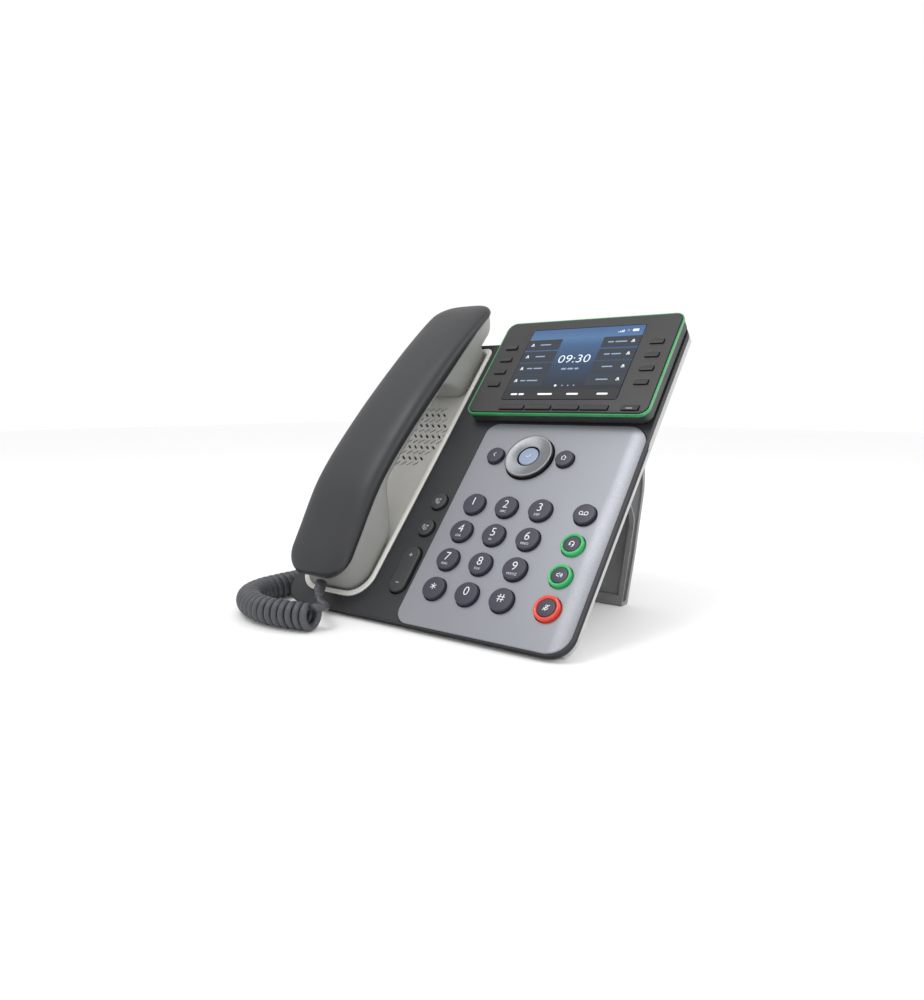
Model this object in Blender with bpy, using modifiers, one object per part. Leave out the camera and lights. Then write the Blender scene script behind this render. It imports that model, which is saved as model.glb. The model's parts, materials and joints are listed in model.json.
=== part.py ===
"""Desk IP phone: a sloping body with a keypad plate, a display head, a handset in its cradle and stand.

The body is drawn flat, in the plane of its keypad: U runs right, V runs up the slope and N stands
out of the plate. The origin of U, V and N is the centre of key 5 on the plate's top face. One empty
leans this frame back by SLOPE and stands the phone on the table, so that the origin of the world is
at the middle of the phone's footprint.
"""

import math

import bmesh
import bpy
from mathutils import Matrix, Vector

# Lengths are in metres and angles in radians.
SLOPE = math.radians(48.4)
TABLE_DROP = 0.0476  # height of the U, V, N origin over the table
SEAT_GAP = 0.0003  # between pieces that rest on each other
KEY_GAP = 0.0003  # round a key in its hole
TILT_GAP = 0.0005  # round a key that tilts in its hole
ROUND_STEPS = 20
ARC_STEP = math.radians(18)
SMALL_ARC_STEP = math.radians(45)
SMALL_ARC = 0.0020

# Body, seen from the front
BODY_RIGHT = 0.0640
BODY_FOOT = -0.0579
BODY_HEAD = 0.1550
BODY_CORNER = 0.0120
SHOULDER_U = -0.0560  # left of this the body ends lower
SHOULDER_V = 0.1435
SHOULDER_CORNER = 0.0060

# Keypad plate
PLATE_LEFT = -0.0377
PLATE_HEAD = 0.0765
PLATE_SIDE_LIP = 0.0002  # the housing shows this much outside the plate
PLATE_CORNER = 0.0080
PLATE_THICK = 0.0012
PLATE_ROLL_WIDTH = 0.0100
PLATE_ROLL_DROP = 0.0016

# Front housing
DECK_TOP = -0.0008
DECK_THICK = 0.0032
CHIN_DEPTH = 0.0018
HEAD_BOSS_INSET = 0.0050
HEAD_BOSS_TOP = 0.0

# Rear shell
SHELL_LIP = 0.0045
SHELL_DEPTH = 0.0220
SHELL_WALL = 0.0020
SHELL_CHIN_INSET = 0.0028
SHELL_RIGHT_SLOPE = 0.0220
SHELL_LEFT_CORNER = 0.0060
SHELL_HEAD_SLOPE = 0.0150
FOOT_LAND = 0.0012  # height of the shell's front landing over the table

# Display head, parallel to the plate
HEAD_LEFT = -0.0528
HEAD_RIGHT = BODY_RIGHT - 0.0005
HEAD_FOOT = 0.0776
HEAD_TOP = 0.1529
HEAD_CORNER = 0.0060
HEAD_FACE = 0.0083
BEZEL_THICK = 0.0024
BEZEL_INSET = 0.0011
HOUSING_INSET = 0.0004  # of the head's housing inside the light ring
WINDOW_SETBACK = 0.0001
WINDOW_CORNER = 0.0010
RING_SETBACK = 0.0004
HEAD_FLOOR = 0.0003
HEAD_WALL = 0.0015
SCREEN_U = 0.0056
SCREEN_V = 0.1164
WINDOW_WIDTH = 0.0738
WINDOW_HEIGHT = 0.0563
WINDOW_THICK = 0.0011
LCD_WIDTH = WINDOW_WIDTH + 0.0042
LCD_HEIGHT = WINDOW_HEIGHT + 0.0047
LCD_THICK = 0.0026

# Round keys: places on the key grid
COLUMN_PITCH = 0.0210
ROW_PITCH = 0.0180
FUNCTION_COLUMN = 2 * COLUMN_PITCH + 0.0047
DIAL_RADIUS = 0.00655
MESSAGE_RADIUS = 0.00595
TALK_RADIUS = 0.0061  # of the headset and loudspeaker keys
MUTE_RADIUS = 0.0068
KEY_RISE = 0.0024
KEY_EDGE = 0.0005
FLANGE_RIM = 0.0009
FLANGE_THICK = 0.0009
KEY_TRAVEL = 0.0010
NAV_V = 0.0520
NAV_RADIUS = 0.01425
NAV_RISE = 0.0029
NAV_DISH = 0.0007
SELECT_RADIUS = 0.0062
SELECT_RISE = 0.0023
SELECT_GAP = 0.0005
SIDE_KEY_RADIUS = 0.0052
SIDE_KEY_U = NAV_RADIUS + SIDE_KEY_RADIUS + 0.00285
STRIP_KEY_U = -0.0462
STRIP_KEY_RADIUS = 0.00525
STRIP_KEY_RISE = 0.0020
VOLUME_V = -0.0275
VOLUME_WIDTH = 0.0110
VOLUME_LENGTH = 0.0290
ROCK_REACH = 0.0008  # how far a rocking key's edge goes down

# Display keys
LINE_KEY_U = WINDOW_WIDTH / 2 + 0.0106  # from the screen's middle
LINE_KEY_V = 0.1305
LINE_KEY_PITCH = 0.0101
LINE_KEY_WIDTH = 0.0080
LINE_KEY_HEIGHT = 0.0036
SOFT_KEY_V = 0.0820
SOFT_KEY_U = -0.0214
SOFT_KEY_PITCH = 0.0177
SOFT_KEY_WIDTH = 0.0166
SOFT_KEY_HEIGHT = 0.0034
PILL_KEY_U = 0.0526
PILL_KEY_WIDTH = 0.0098
DISPLAY_KEY_RISE = 0.0009
DISPLAY_KEY_RIM = 0.0003

# Mat and board under the keys
MAT_THICK = 0.0010
BOARD_THICK = 0.0016
BOARD_LEFT = PLATE_LEFT - 0.0193
BOARD_RIGHT = BODY_RIGHT - 0.0060
BOARD_FOOT = BODY_FOOT + 0.0109
BOARD_HEAD = PLATE_HEAD - 0.0105

# Cradle and loudspeaker
CRADLE_U = -0.0915
CRADLE_FOOT = -0.0490
CRADLE_HEAD = 0.1400
CRADLE_CORNER = 0.0150
CRADLE_HEAD_CORNER = 0.0050
CRADLE_RIM = 0.0030
CRADLE_SIDE_GAP = 0.0010  # between the handset's side and the rim
CRADLE_RISE = 0.0006
CRADLE_FLOOR = -0.0062
CRADLE_THICK = 0.0020
GRILLE_V = 0.0700
SLOT_LENGTH = 0.0042
SLOT_WIDTH = 0.0012
SLOT_PITCH_U = 0.0048
SLOT_PITCH_V = 0.0044
SLOT_ROWS = 5
SLOT_COLUMNS = 3
SLOT_LEAN = math.radians(-35)
SPEAKER_RADIUS = 0.0200
SPEAKER_THICK = 0.0065
HOOK_V = 0.1180
HOOK_WIDTH = 0.0060
HOOK_LENGTH = 0.0080
HOOK_POP = 0.0030

# Handset
HANDSET_FOOT = -0.0478
HANDSET_TOP = 0.1680
HANDSET_HALF = 0.0230
HANDSET_CORNER = 0.0140
HANDSET_WALL = 0.0020
EAR_V = 0.1190
EAR_RADIUS = 0.0125
EAR_THICK = 0.0060
MIC_V = -0.0220
MIC_RADIUS = 0.0050
MIC_THICK = 0.0040
CAPSULE_LIFT = 0.0008  # the capsules stand this high in the shell

# Stand, drawn in the world's Y and Z from the U, V, N origin
STAND_LEFT = -0.0990
STAND_RIGHT = 0.0390
STAND_WALL = 0.0030
STAND_PAD = 0.0060
STAND_FOOT_Y = 0.0735
STAND_LOW_V = 0.0660  # where the stand's ends meet the shell's back
STAND_HIGH_V = 0.1180

# Network jacks, square to the table
JACK_U = -0.0300
JACK_WIDTH = 0.0360
JACK_DEPTH = 0.0150
JACK_HEIGHT = 0.0160
JACK_FRONT = 0.0580
JACK_FOOT = 0.0290
SOCKET_WIDTH = 0.0122
SOCKET_DEPTH = 0.0086
SOCKET_HEIGHT = 0.0120
SOCKET_PITCH = 0.0160

# Feet
FOOT_WIDTH = 0.1000
FOOT_DEPTH = 0.0060
FOOT_U = -0.0290
FOOT_SETBACK = 0.0010
CHIN_N = -0.0065  # where the shell's front face is lowest

# Handset cord
WIRE_RADIUS = 0.0020
COIL_RADIUS = 0.0074
PLUG_WIDTH = 0.0077
PLUG_HEIGHT = 0.0066
PLUG_LENGTH = 0.0120
PLUG_STAND_OUT = 0.0040
PLUG_V = 0.0450
PLUG_N = -0.0115

PARTS = "desk_ip_phone"
CUTTERS = "cutters"
REACH = 0.02  # how far a cutter runs to both sides of the plate's plane

CRADLE_WIDTH = 2 * (HANDSET_HALF + CRADLE_SIDE_GAP + CRADLE_RIM)
BODY_LEFT = CRADLE_U - CRADLE_WIDTH / 2 - 0.0047
SHELL_TOP = DECK_TOP - DECK_THICK - SEAT_GAP
SHELL_BACK = -SHELL_DEPTH
PLATE_RIGHT = BODY_RIGHT - PLATE_SIDE_LIP
PLATE_FOOT = BODY_FOOT + PLATE_SIDE_LIP
DECK_BOTTOM = DECK_TOP - DECK_THICK
FLANGE_TOP = DECK_BOTTOM - SEAT_GAP
MAT_TOP = FLANGE_TOP - FLANGE_THICK - KEY_TRAVEL - 2 * SEAT_GAP
BOARD_TOP = MAT_TOP - MAT_THICK - SEAT_GAP
ROCK_FLANGE_TOP = FLANGE_TOP - ROCK_REACH
ROCK_PIVOT = ROCK_FLANGE_TOP
BEZEL_BACK = HEAD_FACE - BEZEL_THICK
HANDSET_REST = CRADLE_FLOOR + SEAT_GAP


# ---- scene and frame ---------------------------------------------------------------------------

def clear_scene():
    for old in list(bpy.data.objects):
        bpy.data.objects.remove(old, do_unlink=True)


def collection(name, hidden=False):
    made = bpy.data.collections.new(name)
    bpy.context.scene.collection.children.link(made)
    made.hide_render = hidden
    return made


def empty(name, parent=None):
    made = bpy.data.objects.new(name, None)
    bpy.context.scene.collection.objects.link(made)
    made.parent = parent
    return made


clear_scene()
parts = collection(PARTS)
cutters = collection(CUTTERS, hidden=True)
table_frame = empty("table_frame")
slope_frame = empty("slope_frame", table_frame)
slope_frame.rotation_euler.x = SLOPE


# ---- building helpers --------------------------------------------------------------------------

def add(name, mesh, frame=slope_frame):
    made = bpy.data.objects.new(name, mesh)
    parts.objects.link(made)
    made.parent = frame
    return made


def paint(obj, colour, roughness=0.5, metallic=0.0):
    """Give the object its own plain material, with the colour as an sRGB hex string."""
    made = bpy.data.materials.new(obj.name)
    made.use_nodes = True
    channels = [int(colour[i:i + 2], 16) / 255 for i in (0, 2, 4)]
    linear = [c / 12.92 if c < 0.04045 else ((c + 0.055) / 1.055) ** 2.4 for c in channels]
    shader = made.node_tree.nodes["Principled BSDF"]
    shader.inputs["Base Color"].default_value = (*linear, 1.0)
    shader.inputs["Roughness"].default_value = roughness
    shader.inputs["Metallic"].default_value = metallic
    made.diffuse_color = (*linear, 1.0)
    obj.data.materials.clear()
    obj.data.materials.append(made)
    return obj


def use_as_cutter(obj):
    for holder in list(obj.users_collection):
        holder.objects.unlink(obj)
    cutters.objects.link(obj)
    obj.hide_render = True
    obj.display_type = "WIRE"


def boolean(obj, other, operation):
    use_as_cutter(other)
    made = obj.modifiers.new(f"{operation.lower()}_{other.name}", "BOOLEAN")
    made.operation = operation
    made.object = other
    made.solver = "EXACT"
    return obj


def cut(obj, *others):
    for other in others:
        boolean(obj, other, "DIFFERENCE")
    return obj


def keep_inside(obj, *others):
    for other in others:
        boolean(obj, other, "INTERSECT")
    return obj


def join(obj, *others):
    for other in others:
        boolean(obj, other, "UNION")
    return obj


def filleted(corners):
    """Turn (x, y, radius) corners, listed anticlockwise or clockwise, into points with round corners."""
    points = []
    count = len(corners)
    for i, (x, y, radius) in enumerate(corners):
        corner = Vector((x, y))
        if radius <= 0:
            points.append(tuple(corner))
            continue
        before = (Vector(corners[i - 1][:2]) - corner).normalized()
        after = (Vector(corners[(i + 1) % count][:2]) - corner).normalized()
        half = before.angle(after) / 2
        reach = radius / math.tan(half)
        middle = corner + (before + after).normalized() * (radius / math.sin(half))
        start = corner + before * reach - middle
        turn = start.angle_signed(corner + after * reach - middle)
        steps = max(2, round(abs(turn) / (SMALL_ARC_STEP if radius < SMALL_ARC else ARC_STEP)))
        for step in range(steps + 1):
            spoke = start.copy()
            spoke.rotate(Matrix.Rotation(-turn * step / steps, 2))
            points.append(tuple(middle + spoke))
    return points


def rectangle(left, right, foot, head, radius, inset=0.0):
    """A rounded rectangle, moved in by inset on every side."""
    left, right, foot, head = left + inset, right - inset, foot + inset, head - inset
    radius = max(radius - inset, 0.0)
    corners = [(left, foot), (right, foot), (right, head), (left, head)]
    return filleted([(x, y, radius) for x, y in corners])


def centred(u, v, width, height, radius, inset=0.0):
    return rectangle(u - width / 2, u + width / 2, v - height / 2, v + height / 2, radius, inset)


# Each drawing plane: where the outline's x and y and the extrusion's direction go.
PLANES = {
    "uv": Matrix(((1, 0, 0), (0, 1, 0), (0, 0, 1))),
    "un": Matrix(((1, 0, 0), (0, 0, 1), (0, 1, 0))),
    "vn": Matrix(((0, 0, 1), (1, 0, 0), (0, 1, 0))),
}


def prism(name, outline, plane, low, high, frame=slope_frame):
    """Extrude a closed outline from low to high, square to its plane."""
    curve = bpy.data.curves.new(name, "CURVE")
    curve.dimensions = "2D"
    curve.fill_mode = "BOTH"
    curve.extrude = (high - low) / 2
    spline = curve.splines.new("POLY")
    spline.points.add(len(outline) - 1)
    for point, (x, y) in zip(spline.points, outline):
        point.co = (x, y, 0.0, 1.0)
    spline.use_cyclic_u = True
    drawn = bpy.data.objects.new(name, curve)
    bpy.context.scene.collection.objects.link(drawn)
    graph = bpy.context.evaluated_depsgraph_get()
    mesh = bpy.data.meshes.new_from_object(drawn.evaluated_get(graph))
    bpy.data.objects.remove(drawn, do_unlink=True)
    bpy.data.curves.remove(curve)
    mesh.transform(Matrix.Translation((0, 0, (low + high) / 2)))
    mesh.transform(PLANES[plane].to_4x4())
    close_up(mesh)
    mesh.name = name
    return add(name, mesh, frame)


def close_up(mesh):
    """Weld the loose caps and turn the faces outwards."""
    work = bmesh.new()
    work.from_mesh(mesh)
    bmesh.ops.remove_doubles(work, verts=work.verts, dist=1e-6)
    bmesh.ops.recalc_face_normals(work, faces=work.faces)
    work.to_mesh(mesh)
    work.free()


def turned(name, profile, place, frame=slope_frame, steps=ROUND_STEPS):
    """Spin a (radius, height) profile, which runs from the top down, round the N axis at its place."""
    mesh = bpy.data.meshes.new(name)
    edges = [(i, i + 1) for i in range(len(profile) - 1)]
    mesh.from_pydata([(radius, 0.0, height) for radius, height in profile], edges, [])
    made = add(name, mesh, frame)
    made.location = place
    screw = made.modifiers.new("spin", "SCREW")
    screw.steps = steps
    screw.render_steps = steps
    screw.use_merge_vertices = True
    screw.merge_threshold = 1e-5
    screw.use_smooth_shade = True
    return made


def disc(name, radius, low, high, place, steps=ROUND_STEPS):
    """A plain round solid from low to high along N."""
    work = bmesh.new()
    bmesh.ops.create_cone(
        work, cap_ends=True, segments=steps, radius1=radius, radius2=radius, depth=high - low
    )
    mesh = bpy.data.meshes.new(name)
    work.to_mesh(mesh)
    work.free()
    mesh.transform(Matrix.Translation((0, 0, (low + high) / 2)))
    made = add(name, mesh)
    made.location = (*place, 0.0)
    return made


def block(name, low, high, frame):
    """A box between two opposite corners."""
    work = bmesh.new()
    size = Vector(high) - Vector(low)
    middle = (Vector(high) + Vector(low)) / 2
    bmesh.ops.create_cube(work, size=1.0, matrix=Matrix.LocRotScale(middle, None, size))
    mesh = bpy.data.meshes.new(name)
    work.to_mesh(mesh)
    work.free()
    return add(name, mesh, frame)


def lofted(name, rings):
    """Skin a row of rings that have the same number of points, and close both ends."""
    work = bmesh.new()
    rows = [[work.verts.new(point) for point in ring] for ring in rings]
    count = len(rows[0])
    for this, following in zip(rows, rows[1:]):
        for i in range(count):
            j = (i + 1) % count
            work.faces.new((this[i], this[j], following[j], following[i]))
    work.faces.new(rows[0])
    work.faces.new(rows[-1])
    bmesh.ops.recalc_face_normals(work, faces=work.faces)
    mesh = bpy.data.meshes.new(name)
    work.to_mesh(mesh)
    work.free()
    made = add(name, mesh)
    mesh.shade_smooth()
    return made


def slope_at(table, i):
    (x0, y0), (x1, y1) = table[max(i - 1, 0)], table[min(i + 1, len(table) - 1)]
    return (y1 - y0) / (x1 - x0)


def height_on(table, x):
    """Read a smooth line through the (x, y) points of the table."""
    x = min(max(x, table[0][0]), table[-1][0])
    i = next(i for i in range(len(table) - 1) if x <= table[i + 1][0])
    (x0, y0), (x1, y1) = table[i], table[i + 1]
    span = x1 - x0
    t = (x - x0) / span
    bend_in, bend_out = slope_at(table, i) * span, slope_at(table, i + 1) * span
    return (
        y0 * (1 + 2 * t) * (1 - t) ** 2
        + bend_in * t * (1 - t) ** 2
        + y1 * t ** 2 * (3 - 2 * t)
        + bend_out * t ** 2 * (t - 1)
    )


def ramp(start, end, x):
    """Go smoothly from 0 at the start to 1 at the end."""
    share = min(max((x - start) / (end - start), 0.0), 1.0)
    return share * share * (3 - 2 * share)


# ---- keys --------------------------------------------------------------------------------------

ROUND_KEYS = []
for row in range(4):
    for column in range(3):
        digit = ("1", "2", "3", "4", "5", "6", "7", "8", "9", "star", "0", "hash")[3 * row + column]
        ROUND_KEYS.append((f"key_{digit}", (column - 1) * COLUMN_PITCH, (1 - row) * ROW_PITCH, DIAL_RADIUS))
FUNCTION_KEYS = (
    ("voicemail", MESSAGE_RADIUS), ("headset", TALK_RADIUS), ("speaker", TALK_RADIUS), ("mute", MUTE_RADIUS),
)
for row, (use, radius) in enumerate(FUNCTION_KEYS):
    ROUND_KEYS.append((f"key_{use}", FUNCTION_COLUMN, (1 - row) * ROW_PITCH, radius))
ROUND_KEYS.append(("key_back", -SIDE_KEY_U, NAV_V, SIDE_KEY_RADIUS))
ROUND_KEYS.append(("key_home", SIDE_KEY_U, NAV_V, SIDE_KEY_RADIUS))
STRIP_KEYS = [
    ("key_hold", STRIP_KEY_U, ROW_PITCH, STRIP_KEY_RADIUS),
    ("key_transfer", STRIP_KEY_U, 0.0, STRIP_KEY_RADIUS),
]


def round_key(name, u, v, radius, top):
    outer = radius + FLANGE_RIM
    profile = [
        (0.0, top),
        (radius - KEY_EDGE, top),
        (radius, top - KEY_EDGE),
        (radius, FLANGE_TOP),
        (outer, FLANGE_TOP),
        (outer, FLANGE_TOP - FLANGE_THICK),
        (0.0, FLANGE_TOP - FLANGE_THICK),
    ]
    return paint(turned(name, profile, (u, v, 0.0)), "43434f", 0.45)


def build_round_keys():
    for name, u, v, radius in ROUND_KEYS:
        round_key(name, u, v, radius, KEY_RISE)
    for name, u, v, radius in STRIP_KEYS:
        round_key(name, u, v, radius, DECK_TOP + STRIP_KEY_RISE)


def build_navigation():
    """The ring rocks about U on its flange, and the select key slides in its bore."""
    bore = SELECT_RADIUS + SELECT_GAP
    outer = NAV_RADIUS + FLANGE_RIM
    middle = (NAV_RADIUS + bore) / 2
    profile = [
        (bore, NAV_RISE - NAV_DISH / 2),
        (middle, NAV_RISE - NAV_DISH),
        (NAV_RADIUS - KEY_EDGE, NAV_RISE),
        (NAV_RADIUS, NAV_RISE - KEY_EDGE),
        (NAV_RADIUS, ROCK_FLANGE_TOP),
        (outer, ROCK_FLANGE_TOP),
        (outer, ROCK_FLANGE_TOP - FLANGE_THICK),
        (bore, ROCK_FLANGE_TOP - FLANGE_THICK),
        (bore, NAV_RISE - NAV_DISH / 2),
    ]
    below = [(radius, height - ROCK_PIVOT) for radius, height in profile]
    ring = turned("navigation_ring", below, (0.0, NAV_V, ROCK_PIVOT), steps=2 * ROUND_STEPS)
    weld = ring.modifiers.new("weld", "WELD")
    weld.merge_threshold = 1e-5
    paint(ring, "a9abb2", 0.3, 0.8)
    foot = ROCK_FLANGE_TOP - FLANGE_THICK
    profile = [
        (0.0, SELECT_RISE),
        (SELECT_RADIUS - KEY_EDGE, SELECT_RISE),
        (SELECT_RADIUS, SELECT_RISE - KEY_EDGE),
        (SELECT_RADIUS, foot),
        (0.0, foot),
    ]
    paint(turned("key_select", profile, (0.0, NAV_V, 0.0)), "a6b3c6", 0.35, 0.3)


def flanged_key(name, u, v, width, height, radius, heights, rim, pivot=0.0):
    """A key with a straight-sided cap on a wider flange; heights are its top, flange top and foot."""
    top, flange_top, foot = heights
    overlap = (flange_top - foot) / 3
    cap = prism(name, centred(0, 0, width, height, radius), "uv", foot + overlap, top)
    flange_outline = centred(0, 0, width, height, radius, -rim)
    flange = prism(f"{name}_flange", flange_outline, "uv", foot, flange_top)
    for piece in (cap, flange):
        piece.data.transform(Matrix.Translation((0, 0, -pivot)))
        piece.location = (u, v, pivot)
    return join(cap, flange)


def build_volume_rocker():
    heights = (DECK_TOP + STRIP_KEY_RISE, ROCK_FLANGE_TOP, ROCK_FLANGE_TOP - FLANGE_THICK)
    rocker = flanged_key(
        "volume_rocker", STRIP_KEY_U, VOLUME_V, VOLUME_WIDTH, VOLUME_LENGTH,
        VOLUME_WIDTH / 2, heights, FLANGE_RIM, ROCK_PIVOT,
    )
    paint(rocker, "4a4a4c", 0.5)


def display_keys():
    """Name, place and size of each key on the display bezel."""
    keys = []
    for side, sign in (("left", -1), ("right", 1)):
        for i in range(4):
            u = SCREEN_U + sign * LINE_KEY_U
            v = LINE_KEY_V - i * LINE_KEY_PITCH
            keys.append((f"line_key_{side}_{i + 1}", u, v, LINE_KEY_WIDTH, LINE_KEY_HEIGHT))
    for i in range(4):
        u = SOFT_KEY_U + i * SOFT_KEY_PITCH
        keys.append((f"soft_key_{i + 1}", u, SOFT_KEY_V, SOFT_KEY_WIDTH, SOFT_KEY_HEIGHT))
    keys.append(("pill_key", PILL_KEY_U, SOFT_KEY_V, PILL_KEY_WIDTH, LINE_KEY_HEIGHT))
    return keys


def build_display_keys():
    flange_top = BEZEL_BACK - SEAT_GAP
    heights = (HEAD_FACE + DISPLAY_KEY_RISE, flange_top, flange_top - FLANGE_THICK)
    for name, u, v, width, height in display_keys():
        key = flanged_key(name, u, v, width, height, height / 4, heights, DISPLAY_KEY_RIM)
        paint(key, "3c3c3e", 0.45)


# ---- body --------------------------------------------------------------------------------------

def body_outline(inset=0.0, foot=BODY_FOOT):
    """The body's plan, with a shoulder at the upper left where the handset reaches past it."""
    left, right, foot = BODY_LEFT + inset, BODY_RIGHT - inset, foot + inset
    head, shoulder, step = BODY_HEAD - inset, SHOULDER_V - inset, SHOULDER_U + inset
    corner, small = BODY_CORNER - inset, SHOULDER_CORNER - inset
    return filleted([
        (left, foot, corner),
        (right, foot, corner),
        (right, head, corner),
        (step, head, small),
        (step, shoulder, SHOULDER_CORNER / 2),
        (left, shoulder, corner),
    ])


def shell_outline(inset=0.0):
    return body_outline(inset, BODY_FOOT + SHELL_CHIN_INSET)


def plate_outline(inset=0.0):
    return filleted([
        (PLATE_LEFT + inset, PLATE_FOOT + inset, PLATE_CORNER - inset),
        (PLATE_RIGHT - inset, PLATE_FOOT + inset, BODY_CORNER - inset),
        (PLATE_RIGHT - inset, PLATE_HEAD - inset, BODY_CORNER - inset),
        (PLATE_LEFT + inset, PLATE_HEAD - inset, PLATE_CORNER - inset),
    ])


def head_outline(inset=0.0):
    return rectangle(HEAD_LEFT, HEAD_RIGHT, HEAD_FOOT, HEAD_TOP, HEAD_CORNER, inset)


def cradle_outline(inset=0.0):
    half = CRADLE_WIDTH / 2 - inset
    foot, head = CRADLE_FOOT + inset, CRADLE_HEAD - inset
    corner, head_corner = CRADLE_CORNER - inset, CRADLE_HEAD_CORNER - inset
    return filleted([
        (CRADLE_U - half, foot, corner),
        (CRADLE_U + half, foot, corner),
        (CRADLE_U + half, head, head_corner),
        (CRADLE_U - half, head, head_corner),
    ])


def rolled_section(drop):
    """The plate's top line in U and N, which bends down towards its right edge."""
    start = PLATE_RIGHT - PLATE_ROLL_WIDTH
    line = [(PLATE_LEFT - PLATE_THICK, -drop), (start, -drop)]
    for i in range(1, 7):
        share = i / 6
        line.append((start + PLATE_ROLL_WIDTH * share * 1.05, -drop - PLATE_ROLL_DROP * share ** 2))
    return line


def key_holes(piece, keys):
    """Cutters through one piece for the keys, each with its gap, and for the navigation ring."""
    holes = [
        disc(f"{piece}_hole_{name}", radius + KEY_GAP, -REACH, REACH, (u, v))
        for name, u, v, radius in keys
    ]
    ring = disc(f"{piece}_hole_ring", NAV_RADIUS + TILT_GAP, -REACH, REACH, (0.0, NAV_V), 2 * ROUND_STEPS)
    return [*holes, ring]


def build_plate():
    top = rolled_section(0.0)
    bottom = rolled_section(PLATE_THICK)
    section = top + list(reversed(bottom))
    plate = prism("keypad_plate", section, "un", PLATE_FOOT - PLATE_THICK, PLATE_HEAD + PLATE_THICK)
    keep_inside(plate, prism("plate_edge", plate_outline(), "uv", -REACH, REACH))
    cut(plate, *key_holes("plate", ROUND_KEYS))
    paint(plate, "b0b2ba", 0.35, 0.5)


def volume_hole():
    outline = centred(STRIP_KEY_U, VOLUME_V, VOLUME_WIDTH, VOLUME_LENGTH, VOLUME_WIDTH / 2, -TILT_GAP)
    return prism("hole_volume", outline, "uv", -REACH, REACH)


def build_front_housing():
    chin_foot = DECK_BOTTOM - CHIN_DEPTH
    housing = prism("front_housing", body_outline(), "uv", chin_foot, DECK_TOP)
    cut(housing, prism("shell_room", shell_outline(-SEAT_GAP), "uv", chin_foot - 0.01, DECK_BOTTOM))
    seat_section = rolled_section(PLATE_THICK + SEAT_GAP)
    above = [(PLATE_RIGHT + PLATE_THICK, 0.01), (PLATE_LEFT - PLATE_THICK, 0.01)]
    low, high = PLATE_FOOT - PLATE_THICK, PLATE_HEAD + PLATE_THICK
    seat = prism("plate_seat", seat_section + above, "un", low, high)
    keep_inside(seat, prism("plate_seat_edge", plate_outline(-SEAT_GAP), "uv", -REACH, REACH))
    cut(housing, seat)
    cut(housing, prism("cradle_room", cradle_outline(-SEAT_GAP), "uv", -REACH, REACH))
    boss_outline = head_outline(HEAD_BOSS_INSET)
    join(housing, prism("head_boss", boss_outline, "uv", DECK_TOP - 0.001, HEAD_BOSS_TOP))
    cut(housing, volume_hole(), *key_holes("housing", ROUND_KEYS + STRIP_KEYS))
    paint(housing, "58595d", 0.5)


def shell_solid(name, inset):
    """The rear shell's outer shape, moved in by inset all round and open upwards when it is moved in."""
    top = SHELL_TOP + (0.01 if inset else 0.0)
    back = SHELL_BACK + inset
    left, right = BODY_LEFT + inset, BODY_RIGHT - inset
    lip = SHELL_TOP - SHELL_LIP + inset / 2
    across = filleted([
        (left, top, 0),
        (left, back, SHELL_LEFT_CORNER - inset),
        (right - SHELL_RIGHT_SLOPE, back, SHELL_RIGHT_SLOPE / 2),
        (right, lip, SHELL_LIP / 2),
        (right, top, 0),
    ])
    foot = BODY_FOOT + SHELL_CHIN_INSET + inset
    head = BODY_HEAD - inset
    along = filleted([
        (foot, top, 0),
        (foot, back, 0),
        (head - SHELL_HEAD_SLOPE, back, SHELL_HEAD_SLOPE / 2),
        (head, lip, SHELL_LIP / 2),
        (head, top, 0),
    ])
    solid = prism(name, shell_outline(inset), "uv", -0.03, top)
    keep_inside(
        solid,
        prism(f"{name}_across", across, "un", -0.1, 0.2),
        prism(f"{name}_along", along, "vn", -0.2, 0.1),
    )
    land = -TABLE_DROP + FOOT_LAND + inset
    return cut(solid, block(f"{name}_land", (-0.2, -0.1, land - 0.1), (0.2, 0.2, land), table_frame))


def jack_box(name, gap=0.0):
    half = JACK_WIDTH / 2 + gap
    low = (JACK_U - half, JACK_FRONT - gap, JACK_FOOT - gap)
    high = (JACK_U + half, JACK_FRONT + JACK_DEPTH + gap, JACK_FOOT + JACK_HEIGHT + gap)
    return block(name, low, high, table_frame)


def plug_box(name, gap=0.0):
    """The cord plug, square to the body's left side, with its back end standing out of the jack."""
    half_width, half_height = PLUG_WIDTH / 2 + gap, PLUG_HEIGHT / 2 + gap
    low = (BODY_LEFT - PLUG_STAND_OUT, PLUG_V - half_width, PLUG_N - half_height)
    high = (low[0] + PLUG_LENGTH + gap, PLUG_V + half_width, PLUG_N + half_height)
    return block(name, low, high, slope_frame)


def build_rear_shell():
    shell = shell_solid("rear_shell", 0.0)
    cut(shell, shell_solid("shell_hollow", SHELL_WALL))
    cut(shell, jack_box("jack_hole", SEAT_GAP), plug_box("plug_hole", SEAT_GAP))
    paint(shell, "b4b4b2", 0.5)


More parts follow.
